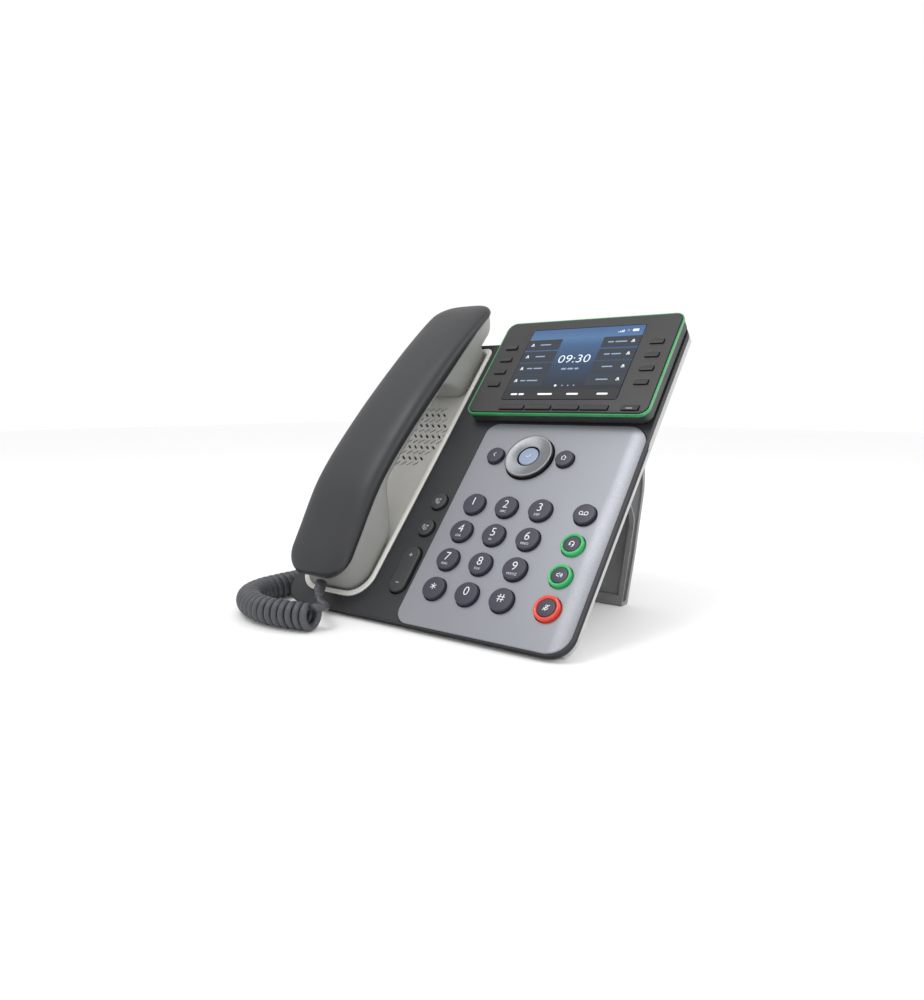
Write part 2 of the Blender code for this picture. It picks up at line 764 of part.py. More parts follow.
def build_head():
    bezel = prism("display_bezel", head_outline(BEZEL_INSET), "uv", BEZEL_BACK, HEAD_FACE)
    window_hole = centred(SCREEN_U, SCREEN_V, WINDOW_WIDTH, WINDOW_HEIGHT, WINDOW_CORNER, -SEAT_GAP)
    cut(bezel, prism("window_hole", window_hole, "uv", 0.0, REACH))
    for name, u, v, width, height in display_keys():
        hole = centred(u, v, width, height, height / 4, -KEY_GAP / 2)
        cut(bezel, prism(f"hole_{name}", hole, "uv", 0.0, REACH))
    paint(bezel, "4d4c4d", 0.4)

    ring = prism("display_light_ring", head_outline(), "uv", BEZEL_BACK, HEAD_FACE - RING_SETBACK)
    cut(ring, prism("ring_hole", head_outline(BEZEL_INSET - SEAT_GAP), "uv", 0.0, REACH))
    paint(ring, "2fae63", 0.3)

    housing_top = BEZEL_BACK - SEAT_GAP
    housing = prism("display_housing", head_outline(HOUSING_INSET), "uv", HEAD_FLOOR, housing_top)
    cut(housing, prism("head_hollow", head_outline(HEAD_WALL), "uv", HEAD_FLOOR + HEAD_WALL, REACH))
    paint(housing, "9a9c9b", 0.5)

    window = centred(SCREEN_U, SCREEN_V, WINDOW_WIDTH, WINDOW_HEIGHT, WINDOW_CORNER)
    face = HEAD_FACE - WINDOW_SETBACK
    paint(prism("display_window", window, "uv", face - WINDOW_THICK, face), "1d2a3c", 0.1)
    panel = centred(SCREEN_U, SCREEN_V, LCD_WIDTH, LCD_HEIGHT, WINDOW_CORNER)
    panel_top = BEZEL_BACK - SEAT_GAP
    paint(prism("lcd_panel", panel, "uv", panel_top - LCD_THICK, panel_top), "2b4a6e", 0.3)


def build_boards():
    outline = rectangle(BOARD_LEFT, BOARD_RIGHT, BOARD_FOOT, BOARD_HEAD, 0.003)
    paint(prism("keypad_mat", outline, "uv", MAT_TOP - MAT_THICK, MAT_TOP), "6e7f8c", 0.8)
    paint(prism("main_board", outline, "uv", BOARD_TOP - BOARD_THICK, BOARD_TOP), "1f5a3a", 0.5)


# ---- cradle ------------------------------------------------------------------------------------

def slot_places():
    """Places of the loudspeaker slots: rows of a six-sided field, shorter at both ends."""
    places = []
    for row in range(-SLOT_ROWS, SLOT_ROWS + 1):
        reach = SLOT_COLUMNS - max(0, abs(row) - SLOT_ROWS + SLOT_COLUMNS - 1)
        for column in range(-reach, reach + 1):
            shift = 0.5 if row % 2 else 0.0
            if column == reach and shift:
                continue
            places.append((CRADLE_U + (column + shift) * SLOT_PITCH_U, GRILLE_V + row * SLOT_PITCH_V))
    return places


def build_cradle():
    bottom = CRADLE_FLOOR - CRADLE_THICK
    top = DECK_TOP + CRADLE_RISE
    cradle = prism("handset_cradle", cradle_outline(), "uv", bottom, top)
    cut(cradle, prism("cradle_hollow", cradle_outline(CRADLE_RIM), "uv", CRADLE_FLOOR, REACH))
    for i, (u, v) in enumerate(slot_places()):
        outline = centred(0, 0, SLOT_LENGTH, SLOT_WIDTH, 0)
        slot = prism(f"slot_{i}", outline, "uv", bottom - 0.001, CRADLE_FLOOR + 0.001)
        slot.rotation_euler.z = SLOT_LEAN
        slot.location = (u, v, 0.0)
        cut(cradle, slot)
    hook_hole = centred(CRADLE_U, HOOK_V, HOOK_WIDTH, HOOK_LENGTH, 0.001, -KEY_GAP)
    cut(cradle, prism("hook_hole", hook_hole, "uv", bottom - 0.01, CRADLE_FLOOR + 0.01))
    paint(cradle, "c9c8c2", 0.5)

    speaker_top = bottom - SEAT_GAP
    speaker_foot = speaker_top - SPEAKER_THICK
    speaker = disc("loudspeaker", SPEAKER_RADIUS, speaker_foot, speaker_top, (CRADLE_U, GRILLE_V))
    paint(speaker, "2b2b2d", 0.6)

    hook = centred(CRADLE_U, HOOK_V, HOOK_WIDTH, HOOK_LENGTH, 0.001)
    plunger = prism("hook_plunger", hook, "uv", bottom - HOOK_POP, CRADLE_FLOOR)
    paint(plunger, "3a3a3c", 0.5)


# ---- handset -----------------------------------------------------------------------------------

# Heights over the plate along V: the seam between the two shells, the crown and the underside.
SEAM_LINE = [
    (-0.048, 0.0150), (-0.026, 0.0190), (0.010, 0.0250), (0.045, 0.0245),
    (0.095, 0.0200), (0.140, 0.0155), (0.168, 0.0105),
]
CROWN_LINE = [
    (-0.048, 0.0200), (-0.024, 0.0262), (0.008, 0.0332), (0.060, 0.0326),
    (0.110, 0.0274), (0.145, 0.0210), (0.168, 0.0150),
]
NECK_HEIGHT = 0.0145
BLOCK_RAMP = 0.0140
MOUTH_BLOCK_END = 0.0060
EAR_BLOCK_START = 0.1040
EAR_END_SLOPE = 0.0120  # how much shorter the ear end is at its underside
EAR_BLOCK_END = CRADLE_HEAD - CRADLE_RIM - 0.0008
RIM_CLEARANCE = 0.0012  # height over the plate's plane of the ear end, which reaches past the cradle
EAR_END_STEP = 0.0010
MOUTH_END_SLOPE = 0.0032
END_CROWN = 0.35  # share of the back's height that is left at its very ends
BACK_POWER = 3.4  # how square the back's section is: 2 is an ellipse
NECK_POWER = 2.0
BLOCK_POWER = 6.0
INNER_SETBACK = 0.0006  # of the inner shell's sides under the back
LEAST_DEPTH = 0.0010
HOLLOW_REACH = 0.0030  # how far the hollows run past the seam


def end_share(v, foot, top):
    """How much of its full section the handset has near its two round ends."""
    near = min(v - foot, top - v)
    if near >= HANDSET_CORNER:
        return 1.0
    away = 1 - max(near, 0.0) / HANDSET_CORNER
    return math.sqrt(max(1 - away * away, 0.0))


def half_width(v, foot, top):
    return HANDSET_HALF - HANDSET_CORNER * (1 - end_share(v, foot, top))


def stations(foot, top):
    """Places along V where the handset's section is drawn: close together at the round ends."""
    offsets = [HANDSET_CORNER * (1 - math.cos(math.radians(a))) for a in (0, 18, 36, 54, 72)]
    inner_foot, inner_top = foot + HANDSET_CORNER, top - HANDSET_CORNER
    middle = [inner_foot + (inner_top - inner_foot) * i / 14 for i in range(15)]
    steps = [MOUTH_BLOCK_END, EAR_BLOCK_START, EAR_BLOCK_END - 0.0020, EAR_BLOCK_END]
    ends = [foot + d for d in offsets] + [top - d for d in offsets]
    return sorted(set(ends + [v for v in middle if min(abs(v - s) for s in steps) > 0.003] + steps))


def half_ring(v, half, seam, reach, power, direction):
    """Points of a D-shaped section: a flat seam and a rounded top or belly."""
    count = 14
    ring = []
    for i in range(count + 1):
        angle = math.pi * i / count
        across = math.copysign(abs(math.cos(angle)) ** (2 / power), math.cos(angle))
        out = abs(math.sin(angle)) ** (2 / power)
        ring.append((CRADLE_U + half * across, v, seam + direction * reach * out))
    return ring


def back_shell_solid(name, inset, extend):
    foot, top = HANDSET_FOOT + inset, HANDSET_TOP - inset
    rings = []
    for v in stations(foot, top):
        seam = height_on(SEAM_LINE, v)
        crown = height_on(CROWN_LINE, v) - inset
        reach = (crown - seam) * (END_CROWN + (1 - END_CROWN) * end_share(v, foot, top))
        half = half_width(v, foot, top) - inset
        ring = half_ring(v, half, seam, max(reach, LEAST_DEPTH), BACK_POWER, 1)
        if extend:
            ring = [*ring, (CRADLE_U - half, v, seam - extend), (CRADLE_U + half, v, seam - extend)]
        rings.append(ring)
    return lofted(name, rings)


def underside(v):
    """Height of the handset's belly: low at the mouth and ear blocks, high at the neck."""
    mouth = ramp(MOUTH_BLOCK_END, MOUTH_BLOCK_END + BLOCK_RAMP, v)
    ear = ramp(EAR_BLOCK_START, EAR_BLOCK_START - BLOCK_RAMP, v)
    over_rim = ramp(EAR_BLOCK_END - 0.0020, EAR_BLOCK_END, v) * (RIM_CLEARANCE - HANDSET_REST)
    return HANDSET_REST + (NECK_HEIGHT - HANDSET_REST) * min(mouth, ear) + over_rim


def inner_shell_solid(name, inset, extend):
    foot, top = HANDSET_FOOT + MOUTH_END_SLOPE + inset, HANDSET_TOP - EAR_END_STEP - inset
    rings = []
    for v in stations(foot, top):
        seam = height_on(SEAM_LINE, v) - SEAT_GAP
        low = underside(v) + inset
        blockiness = (NECK_HEIGHT + inset - low) / (NECK_HEIGHT - HANDSET_REST)
        power = NECK_POWER + (BLOCK_POWER - NECK_POWER) * blockiness
        half = half_width(v, foot, top) - inset - INNER_SETBACK
        belly = max(seam - low, 2 * LEAST_DEPTH)
        ring = half_ring(v, half, seam, belly, power, -1)
        slope = EAR_END_SLOPE * max(v - EAR_BLOCK_END, 0.0) / (top - EAR_BLOCK_END)
        full = seam - RIM_CLEARANCE
        ring = [(u, y - slope * min((seam - n) / full, 1.0), n) for u, y, n in ring]
        if extend:
            ring = [*ring, (CRADLE_U - half, v, seam + extend), (CRADLE_U + half, v, seam + extend)]
        rings.append(ring)
    return lofted(name, rings)


def build_handset():
    back = back_shell_solid("handset_back_shell", 0.0, 0.0)
    cut(back, back_shell_solid("back_hollow", HANDSET_WALL, HOLLOW_REACH))
    paint(back, "4a4b4f", 0.6)
    inner = inner_shell_solid("handset_inner_shell", 0.0, 0.0)
    cut(inner, inner_shell_solid("inner_hollow", HANDSET_WALL, HOLLOW_REACH))
    paint(inner, "b9bab6", 0.5)
    capsule_foot = HANDSET_REST + HANDSET_WALL + CAPSULE_LIFT
    ear_top = capsule_foot + EAR_THICK
    ear = disc("earpiece_capsule", EAR_RADIUS, capsule_foot, ear_top, (CRADLE_U, EAR_V))
    paint(ear, "2a2a2c", 0.6)
    mic_top = capsule_foot + MIC_THICK
    mic = disc("microphone_capsule", MIC_RADIUS, capsule_foot, mic_top, (CRADLE_U, MIC_V))
    paint(mic, "303033", 0.6)


# ---- stand, jacks and feet ---------------------------------------------------------------------

def on_back(v):
    """World Y and Z, from the U, V, N origin, of a point on the shell's back at V."""
    n = SHELL_BACK - SEAT_GAP
    return (v * math.cos(SLOPE) - n * math.sin(SLOPE), v * math.sin(SLOPE) + n * math.cos(SLOPE))


def stand_outline(wall):
    """Side view of the stand; with a wall it is the pocket that hollows it from the front."""
    foot_z = -TABLE_DROP
    low_back, high_back = on_back(STAND_LOW_V), on_back(STAND_HIGH_V)
    rear = [
        (STAND_FOOT_Y + 0.0080 - wall, foot_z + (STAND_PAD if wall else 0.0), 0 if wall else 0.001),
        (0.0915 - wall, -0.0180, 0.060),
        (0.1020 - wall, 0.0200, 0.030),
        (0.1000 - wall, 0.0420, 0.020),
        (high_back[0] - wall, high_back[1], 0),
    ]
    if wall:
        open_front = [
            (high_back[0] - wall - 0.05, high_back[1] + 0.03, 0),
            (0.03, -0.02, 0),
            (0.06, foot_z + STAND_PAD, 0),
        ]
        return filleted(rear + open_front)
    front = [
        (*low_back, 0),
        (0.0800, 0.0140, 0.012),
        (0.0885, 0.0020, 0.010),
        (STAND_FOOT_Y, foot_z, 0.001),
    ]
    return filleted(rear + front)


def build_stand():
    stand = prism("desk_stand", stand_outline(0.0), "vn", STAND_LEFT, STAND_RIGHT, table_frame)
    pocket = prism(
        "stand_pocket", stand_outline(STAND_WALL), "vn",
        STAND_LEFT + STAND_WALL, STAND_RIGHT - STAND_WALL, table_frame,
    )
    cut(stand, pocket)
    paint(stand, "a8a8a6", 0.5)


def build_jacks():
    jacks = jack_box("network_jacks")
    for side in (-1, 1):
        middle = JACK_U + side * SOCKET_PITCH / 2
        centre_y = JACK_FRONT + JACK_DEPTH / 2
        low = (middle - SOCKET_WIDTH / 2, centre_y - SOCKET_DEPTH / 2, JACK_FOOT - 0.001)
        high = (middle + SOCKET_WIDTH / 2, centre_y + SOCKET_DEPTH / 2, JACK_FOOT + SOCKET_HEIGHT)
        cut(jacks, block(f"socket_{side}", low, high, table_frame))
    paint(jacks, "1d1d1f", 0.5)


def build_foot():
    shell_front = math.cos(SLOPE) * (BODY_FOOT + SHELL_CHIN_INSET) - math.sin(SLOPE) * CHIN_N
    front = shell_front + FOOT_SETBACK
    low = (FOOT_U - FOOT_WIDTH / 2, front, -TABLE_DROP)
    high = (FOOT_U + FOOT_WIDTH / 2, front + FOOT_DEPTH, -TABLE_DROP + FOOT_LAND - SEAT_GAP)
    paint(block("front_foot", low, high, table_frame), "1b1b1c", 0.8)


# ---- handset cord ------------------------------------------------------------------------------

def smooth_route(points, spacing):
    """Points of a smooth curve through the route's own points, about a spacing apart."""
    ends = [2 * points[0] - points[1], *points, 2 * points[-1] - points[-2]]
    route = [points[0]]
    for before, this, following, after in zip(ends, ends[1:], ends[2:], ends[3:]):
        steps = max(1, round((following - this).length / spacing))
        for step in range(1, steps + 1):
            t = step / steps
            route.append(0.5 * (
                2 * this
                + (following - before) * t
                + (2 * before - 5 * this + 4 * following - after) * t ** 2
                + (3 * this - before - 3 * following + after) * t ** 3
            ))
    return route


def tube(name, points, radius, spacing, resolution):
    curve = bpy.data.curves.new(name, "CURVE")
    curve.dimensions = "3D"
    curve.bevel_depth = radius
    curve.bevel_resolution = resolution
    curve.use_fill_caps = True
    route = smooth_route([Vector(point) for point in points], spacing)
    spline = curve.splines.new("POLY")
    spline.points.add(len(route) - 1)
    for point, place in zip(spline.points, route):
        point.co = (*place, 1.0)
    made = bpy.data.objects.new(name, curve)
    parts.objects.link(made)
    made.parent = table_frame
    return made


COIL_Z = -TABLE_DROP + COIL_RADIUS + SEAT_GAP
CORD_SIDE = BODY_LEFT - 0.0228  # where the cord climbs, left of the body
LEAD_ROUTE = [
    (-0.0915, -0.0381, -0.0309),
    (-0.0870, -0.0435, -0.0352),
    (-0.0790, -0.0500, -0.0370),
    (-0.0700, -0.0555, -0.0364),
    (-0.0647, -0.0605, -0.0356),
    (-0.0642, -0.0660, -0.0359),
]
COIL_ROUTE = [
    (-0.0665, -0.0666, COIL_Z),
    (-0.0817, -0.0705, COIL_Z),
    (-0.0980, -0.0720, COIL_Z),
    (-0.1150, -0.0675, COIL_Z),
    (CORD_SIDE + 0.0175, -0.0575, COIL_Z),
    (CORD_SIDE + 0.0110, -0.0430, COIL_Z),
    (CORD_SIDE + 0.0105, -0.0270, COIL_Z),
    (CORD_SIDE + 0.0095, -0.0100, COIL_Z),
    (CORD_SIDE + 0.0060, 0.0080, COIL_Z + 0.0040),
    (CORD_SIDE + 0.0020, 0.0240, COIL_Z + 0.0160),
    (CORD_SIDE, 0.0330, COIL_Z + 0.0300),
]
TAIL_ROUTE = [
    (CORD_SIDE, 0.0334, COIL_Z + 0.0306),
    (CORD_SIDE, 0.0375, 0.0020),
    (CORD_SIDE + 0.0025, 0.0395, 0.0160),
    (CORD_SIDE + 0.0090, 0.0390, 0.0248),
    (BODY_LEFT - PLUG_STAND_OUT - SEAT_GAP, 0.0385, 0.0260),
]


def build_cord():
    paint(tube("handset_lead", LEAD_ROUTE, WIRE_RADIUS, 0.006, 2), "3f4044", 0.6)
    paint(tube("handset_coil", COIL_ROUTE, COIL_RADIUS, 0.010, 3), "3f4044", 0.6)
    paint(tube("handset_tail", TAIL_ROUTE, WIRE_RADIUS, 0.006, 2), "3f4044", 0.6)
    paint(plug_box("cord_plug"), "2a2a2c", 0.4)


# ---- the whole phone ---------------------------------------------------------------------------

def centre_over_footprint(free_cord):
    """Move the phone so that its footprint's middle is the world's origin, leaving out the free cord."""
    bpy.context.view_layer.update()
    graph = bpy.context.evaluated_depsgraph_get()
    places = []
    for obj in parts.objects:
        if obj.name not in free_cord:
            shown = obj.evaluated_get(graph)
            places += [shown.matrix_world @ vertex.co for vertex in shown.data.vertices]
    for axis in (0, 1):
        values = [place[axis] for place in places]
        table_frame.location[axis] = -(min(values) + max(values)) / 2
    table_frame.location.z = TABLE_DROP


build_round_keys()
build_navigation()
build_volume_rocker()
build_display_keys()
build_plate()
build_front_housing()
build_rear_shell()
build_head()
build_boards()
build_cradle()
build_handset()
build_stand()
build_jacks()
build_foot()
build_cord()
centre_over_footprint(("handset_lead", "handset_coil", "handset_tail", "cord_plug"))
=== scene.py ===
import json
import math

import bmesh
import bpy
from mathutils import Matrix, Vector


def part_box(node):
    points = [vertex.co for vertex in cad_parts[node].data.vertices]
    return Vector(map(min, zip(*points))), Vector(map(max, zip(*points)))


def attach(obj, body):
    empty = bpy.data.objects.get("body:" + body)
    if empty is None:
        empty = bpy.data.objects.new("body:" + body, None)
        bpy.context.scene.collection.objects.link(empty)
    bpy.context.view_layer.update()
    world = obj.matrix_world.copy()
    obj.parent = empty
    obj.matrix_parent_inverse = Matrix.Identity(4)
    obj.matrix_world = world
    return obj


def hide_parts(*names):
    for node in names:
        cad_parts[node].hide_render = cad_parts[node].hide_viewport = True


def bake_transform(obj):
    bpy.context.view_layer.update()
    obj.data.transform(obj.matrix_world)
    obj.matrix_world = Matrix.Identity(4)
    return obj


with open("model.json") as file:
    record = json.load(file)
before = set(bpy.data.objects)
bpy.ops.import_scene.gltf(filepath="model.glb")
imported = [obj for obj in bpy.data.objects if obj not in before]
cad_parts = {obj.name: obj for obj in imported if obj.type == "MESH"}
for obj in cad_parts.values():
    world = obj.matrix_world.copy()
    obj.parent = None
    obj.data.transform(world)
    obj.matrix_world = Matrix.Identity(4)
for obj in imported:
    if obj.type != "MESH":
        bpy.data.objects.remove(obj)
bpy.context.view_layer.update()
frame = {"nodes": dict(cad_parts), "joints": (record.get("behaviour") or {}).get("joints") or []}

scene = bpy.context.scene

# The phone is drawn flat: U runs right, V up the slope and N out of the keypad's plate, in metres,
# from the middle of key 5. PHONE turns that drawing into the frame's axes.
NAV_V = 0.0520
ROCK_PIVOT = -0.0051
joints = {joint["name"]: joint for joint in frame["joints"]}
RIGHT = Vector((1.0, 0.0, 0.0))
OUT = -Vector(joints["press_key_5"]["axis"]).normalized()
UP = OUT.cross(RIGHT)
ORIGIN = Vector(joints["rock_navigation_ring"]["pos_m"]) - UP * NAV_V - OUT * ROCK_PIVOT
SLOPE = math.acos(OUT.z)
PHONE = Matrix.Translation(ORIGIN) @ Matrix((RIGHT, UP, OUT)).transposed().to_4x4()
LEVEL = Matrix.Translation(ORIGIN)
TABLE_DROP = ORIGIN.z

GAP = 0.0003
ARC_STEP = math.radians(6)

# Body
BODY_LEFT, BODY_RIGHT, BODY_FOOT, BODY_HEAD = -0.1232, 0.0640, -0.0579, 0.1550
BODY_CORNER = 0.0120
SHOULDER_U, SHOULDER_V, SHOULDER_CORNER = -0.0560, 0.1435, 0.0060
DECK_TOP, DECK_BOTTOM = -0.0008, -0.0040
CHIN_DEPTH = 0.0018
SHELL_TOP, SHELL_BACK = -0.0043, -0.0220
SHELL_LIP, SHELL_WALL = 0.0045, 0.0020
SHELL_CHIN_INSET, SHELL_RIGHT_SLOPE, SHELL_HEAD_SLOPE, SHELL_LEFT_CORNER = 0.0028, 0.0220, 0.0150, 0.0060
FOOT_LAND = 0.0012

# Keypad plate
PLATE_LEFT, PLATE_RIGHT, PLATE_FOOT, PLATE_HEAD = -0.0377, 0.0638, -0.0577, 0.0765
PLATE_CORNER, PLATE_THICK = 0.0080, 0.0012
ROLL_WIDTH, ROLL_DROP = 0.0100, 0.0016

# Display head
HEAD_LEFT, HEAD_RIGHT, HEAD_FOOT, HEAD_TOP = -0.0528, 0.0635, 0.0776, 0.1529
HEAD_CORNER, HEAD_FACE, HEAD_FLOOR = 0.0060, 0.0083, 0.0003
BEZEL_BACK, BEZEL_INSET, RING_SETBACK = 0.0059, 0.0011, 0.0004
SCREEN_U, SCREEN_V, SCREEN_WIDTH, SCREEN_HEIGHT = 0.0056, 0.1164, 0.0738, 0.0563

# Keys
COLUMN_PITCH, ROW_PITCH, FUNCTION_COLUMN = 0.0210, 0.0180, 0.0467
DIAL_RADIUS, KEY_RISE, KEY_EDGE, KEY_CROWN = 0.00655, 0.0024, 0.0006, 0.00015
NAV_RADIUS, NAV_RISE, NAV_DISH = 0.01425, 0.0029, 0.0007
SELECT_RADIUS, SELECT_RISE, SELECT_GAP = 0.0062, 0.0023, 0.0005
SIDE_KEY_U, SIDE_KEY_RADIUS = 0.0223, 0.0052
STRIP_KEY_U, STRIP_KEY_RADIUS, STRIP_KEY_TOP = -0.0462, 0.00525, 0.0012
VOLUME_V, VOLUME_WIDTH, VOLUME_LENGTH = -0.0275, 0.0110, 0.0290
FLANGE_TOP, FLANGE_THICK, FLANGE_RIM = -0.0043, 0.0009, 0.0009
ROCK_REACH = 0.0008
DISPLAY_KEY_RISE = 0.0009

# Cradle and handset
CRADLE_U, CRADLE_WIDTH, CRADLE_FOOT, CRADLE_HEAD = -0.0915, 0.0540, -0.0490, 0.1400
CRADLE_CORNER, CRADLE_HEAD_CORNER, CRADLE_RIM = 0.0150, 0.0050, 0.0030
CRADLE_TOP, CRADLE_FLOOR, CRADLE_THICK = -0.0002, -0.0062, 0.0020
GRILLE_V = 0.0700
SLOT_LENGTH, SLOT_WIDTH, SLOT_PITCH_U, SLOT_PITCH_V = 0.0042, 0.0012, 0.0048, 0.0044
HOOK_V, HOOK_WIDTH, HOOK_LENGTH, HOOK_POP = 0.1180, 0.0060, 0.0080, 0.0030
HANDSET_FOOT, HANDSET_TOP, HANDSET_HALF, HANDSET_CORNER = -0.0478, 0.1680, 0.0230, 0.0140

# Cord
WIRE_RADIUS, COIL_RADIUS = 0.0020, 0.0074


# ---- camera, light and floor -------------------------------------------------------------------

SENSOR_WIDTH, LENS = 36.0, 28.37
CAMERA_PLACE, CAMERA_AIM = Vector((0.2296, -0.3382, 0.0706)), Vector((-0.591, 0.797, -0.125))
ROOM_LIGHT, FLOOR_HALF = 1.0, 3.0
# Place, aim, width, height and power of each lamp.
LAMPS = {
    "overhead": ((-0.16, -0.37, 1.0), (0.03, 0.0, 0.10), 0.35, 0.5, 3.0),
    "front": ((0.5, -0.9, 0.3), (0.0, 0.0, 0.08), 0.6, 0.4, 0.8),
    "right_strip": ((0.75, 0.30, 0.45), (0.05, 0.0, 0.10), 0.15, 0.8, 2.0),
}


def shown(name, data):
    """A new object with this data, in the scene."""
    obj = bpy.data.objects.new(name, data)
    scene.collection.objects.link(obj)
    return obj


def finished(work, name):
    """The bmesh as a new mesh; the bmesh is used up."""
    mesh = bpy.data.meshes.new(name)
    work.to_mesh(mesh)
    work.free()
    return mesh


def facing(direction):
    return direction.to_track_quat("-Z", "Y").to_euler()


def make_camera():
    camera = shown("camera", bpy.data.cameras.new("camera"))
    camera.data.sensor_width, camera.data.lens = SENSOR_WIDTH, LENS
    camera.location = ORIGIN + CAMERA_PLACE
    camera.rotation_euler = facing(CAMERA_AIM)
    scene.camera = camera


def area_light(name, place, aim, width, height, power):
    light = bpy.data.lights.new(name, "AREA")
    light.shape = "RECTANGLE"
    light.size, light.size_y, light.energy = width, height, power
    lamp = shown(name, light)
    lamp.location = place
    lamp.rotation_euler = facing(Vector(aim) - Vector(place))


def make_studio():
    scene.view_settings.view_transform = "Standard"
    world = bpy.data.worlds.new("studio")
    scene.world = world
    world.use_nodes = True
    world.node_tree.nodes["Background"].inputs["Color"].default_value = (1.0, 1.0, 1.0, 1.0)
    world.node_tree.nodes["Background"].inputs["Strength"].default_value = ROOM_LIGHT
    for name, settings in LAMPS.items():
        area_light(name, *settings)
    work = bmesh.new()
    bmesh.ops.create_grid(work, x_segments=1, y_segments=1, size=FLOOR_HALF)
    floor = shown("floor", finished(work, "floor"))
    floor.data.materials.append(studio_floor())


# ---- materials ---------------------------------------------------------------------------------

ABS_IOR, ACRYLIC_IOR, GLASS_IOR = 1.53, 1.49, 1.52


def colour(code):
    """Turn an sRGB hex string into linear red, green, blue and alpha."""
    channels = [int(code[i:i + 2], 16) / 255 for i in (0, 2, 4)]
    return (*(c / 12.92 if c < 0.04045 else ((c + 0.055) / 1.055) ** 2.4 for c in channels), 1.0)


def feed(tree, node, inputs):
    """Give a node its inputs: each is a plain value or the socket that it is linked from."""
    for name, value in inputs.items():
        if isinstance(value, bpy.types.NodeSocket):
            tree.links.new(value, node.inputs[name])
        else:
            node.inputs[name].default_value = value


def add_node(tree, kind, inputs=None, **settings):
    made = tree.nodes.new(kind)
    for name, value in settings.items():
        setattr(made, name, value)
    feed(tree, made, inputs or {})
    return made


def noise(tree, where, scale, detail):
    return add_node(
        tree, "ShaderNodeTexNoise", {"Vector": where, "Scale": scale, "Detail": detail}
    ).outputs["Fac"]


def remapped(tree, value, start, end, low, high):
    """The value with its range start to end stretched over low to high."""
    return add_node(tree, "ShaderNodeMapRange", {
        "Value": value, "From Min": start, "From Max": end, "To Min": low, "To Max": high,
    }).outputs["Result"]


def mixed(tree, share, first, second):
    """A colour between two hex colours."""
    return add_node(
        tree, "ShaderNodeMix", {0: share, 6: colour(first), 7: colour(second)}, data_type="RGBA"
    ).outputs[2]


def scaled(tree, vector, factor):
    return add_node(
        tree, "ShaderNodeVectorMath", {0: vector, "Scale": factor}, operation="SCALE"
    ).outputs["Vector"]


def bumped(tree, height, strength, distance=0.0001):
    return add_node(
        tree, "ShaderNodeBump", {"Height": height, "Strength": strength, "Distance": distance}
    ).outputs["Normal"]


def new_material(name):
    made = bpy.data.materials.new(name)
    made.use_nodes = True
    return made, made.node_tree, made.node_tree.nodes["Principled BSDF"]


def object_place(tree):
    return add_node(tree, "ShaderNodeTexCoord").outputs["Object"]


def flat_place(tree):
    """Coordinates in the phone's own drawing, so that a pattern follows the slope."""
    return add_node(
        tree, "ShaderNodeMapping",
        {"Vector": object_place(tree), "Location": ORIGIN, "Rotation": (SLOPE, 0.0, 0.0)},
        vector_type="TEXTURE",
    ).outputs["Vector"]


def moulded(name, tint, shade, roughness, grain=0.00035, depth=0.06, coat=0.0):
    """Injection-moulded plastic with a spark-eroded grain, drawn coarse enough to show."""
    made, tree, shader = new_material(name)
    where = flat_place(tree)
    fine, broad = noise(tree, where, 1 / grain, 3.0), noise(tree, where, 35.0, 4.0)
    both = add_node(tree, "ShaderNodeMath", {0: fine, 1: broad}, operation="MULTIPLY").outputs["Value"]
    feed(tree, shader, {
        "Base Color": mixed(tree, remapped(tree, both, 0.12, 0.40, 0.0, 1.0), shade, tint),
        "Roughness": remapped(tree, broad, 0.3, 0.7, roughness - 0.05, roughness + 0.06),
        "Normal": bumped(tree, fine, depth, 0.0002),
        "IOR": ABS_IOR, "Coat Weight": coat, "Coat Roughness": 0.15,
    })
    return made


def silver_lacquer():
    """Silver paint on the moulded plate: fine metal flake under a satin clear coat."""
    made, tree, shader = new_material("silver_lacquer")
    where = flat_place(tree)
    flake, broad = noise(tree, where, 2600.0, 2.0), noise(tree, where, 22.0, 3.0)
    feed(tree, shader, {
        "Base Color": mixed(tree, remapped(tree, flake, 0.35, 0.65, 0.0, 1.0), "7c7e85", "8f9197"),
        "Roughness": remapped(tree, broad, 0.3, 0.7, 0.34, 0.42),
        "Normal": bumped(tree, flake, 0.05),
        "Metallic": 0.55, "Coat Weight": 0.25, "Coat Roughness": 0.25,
    })
    return made


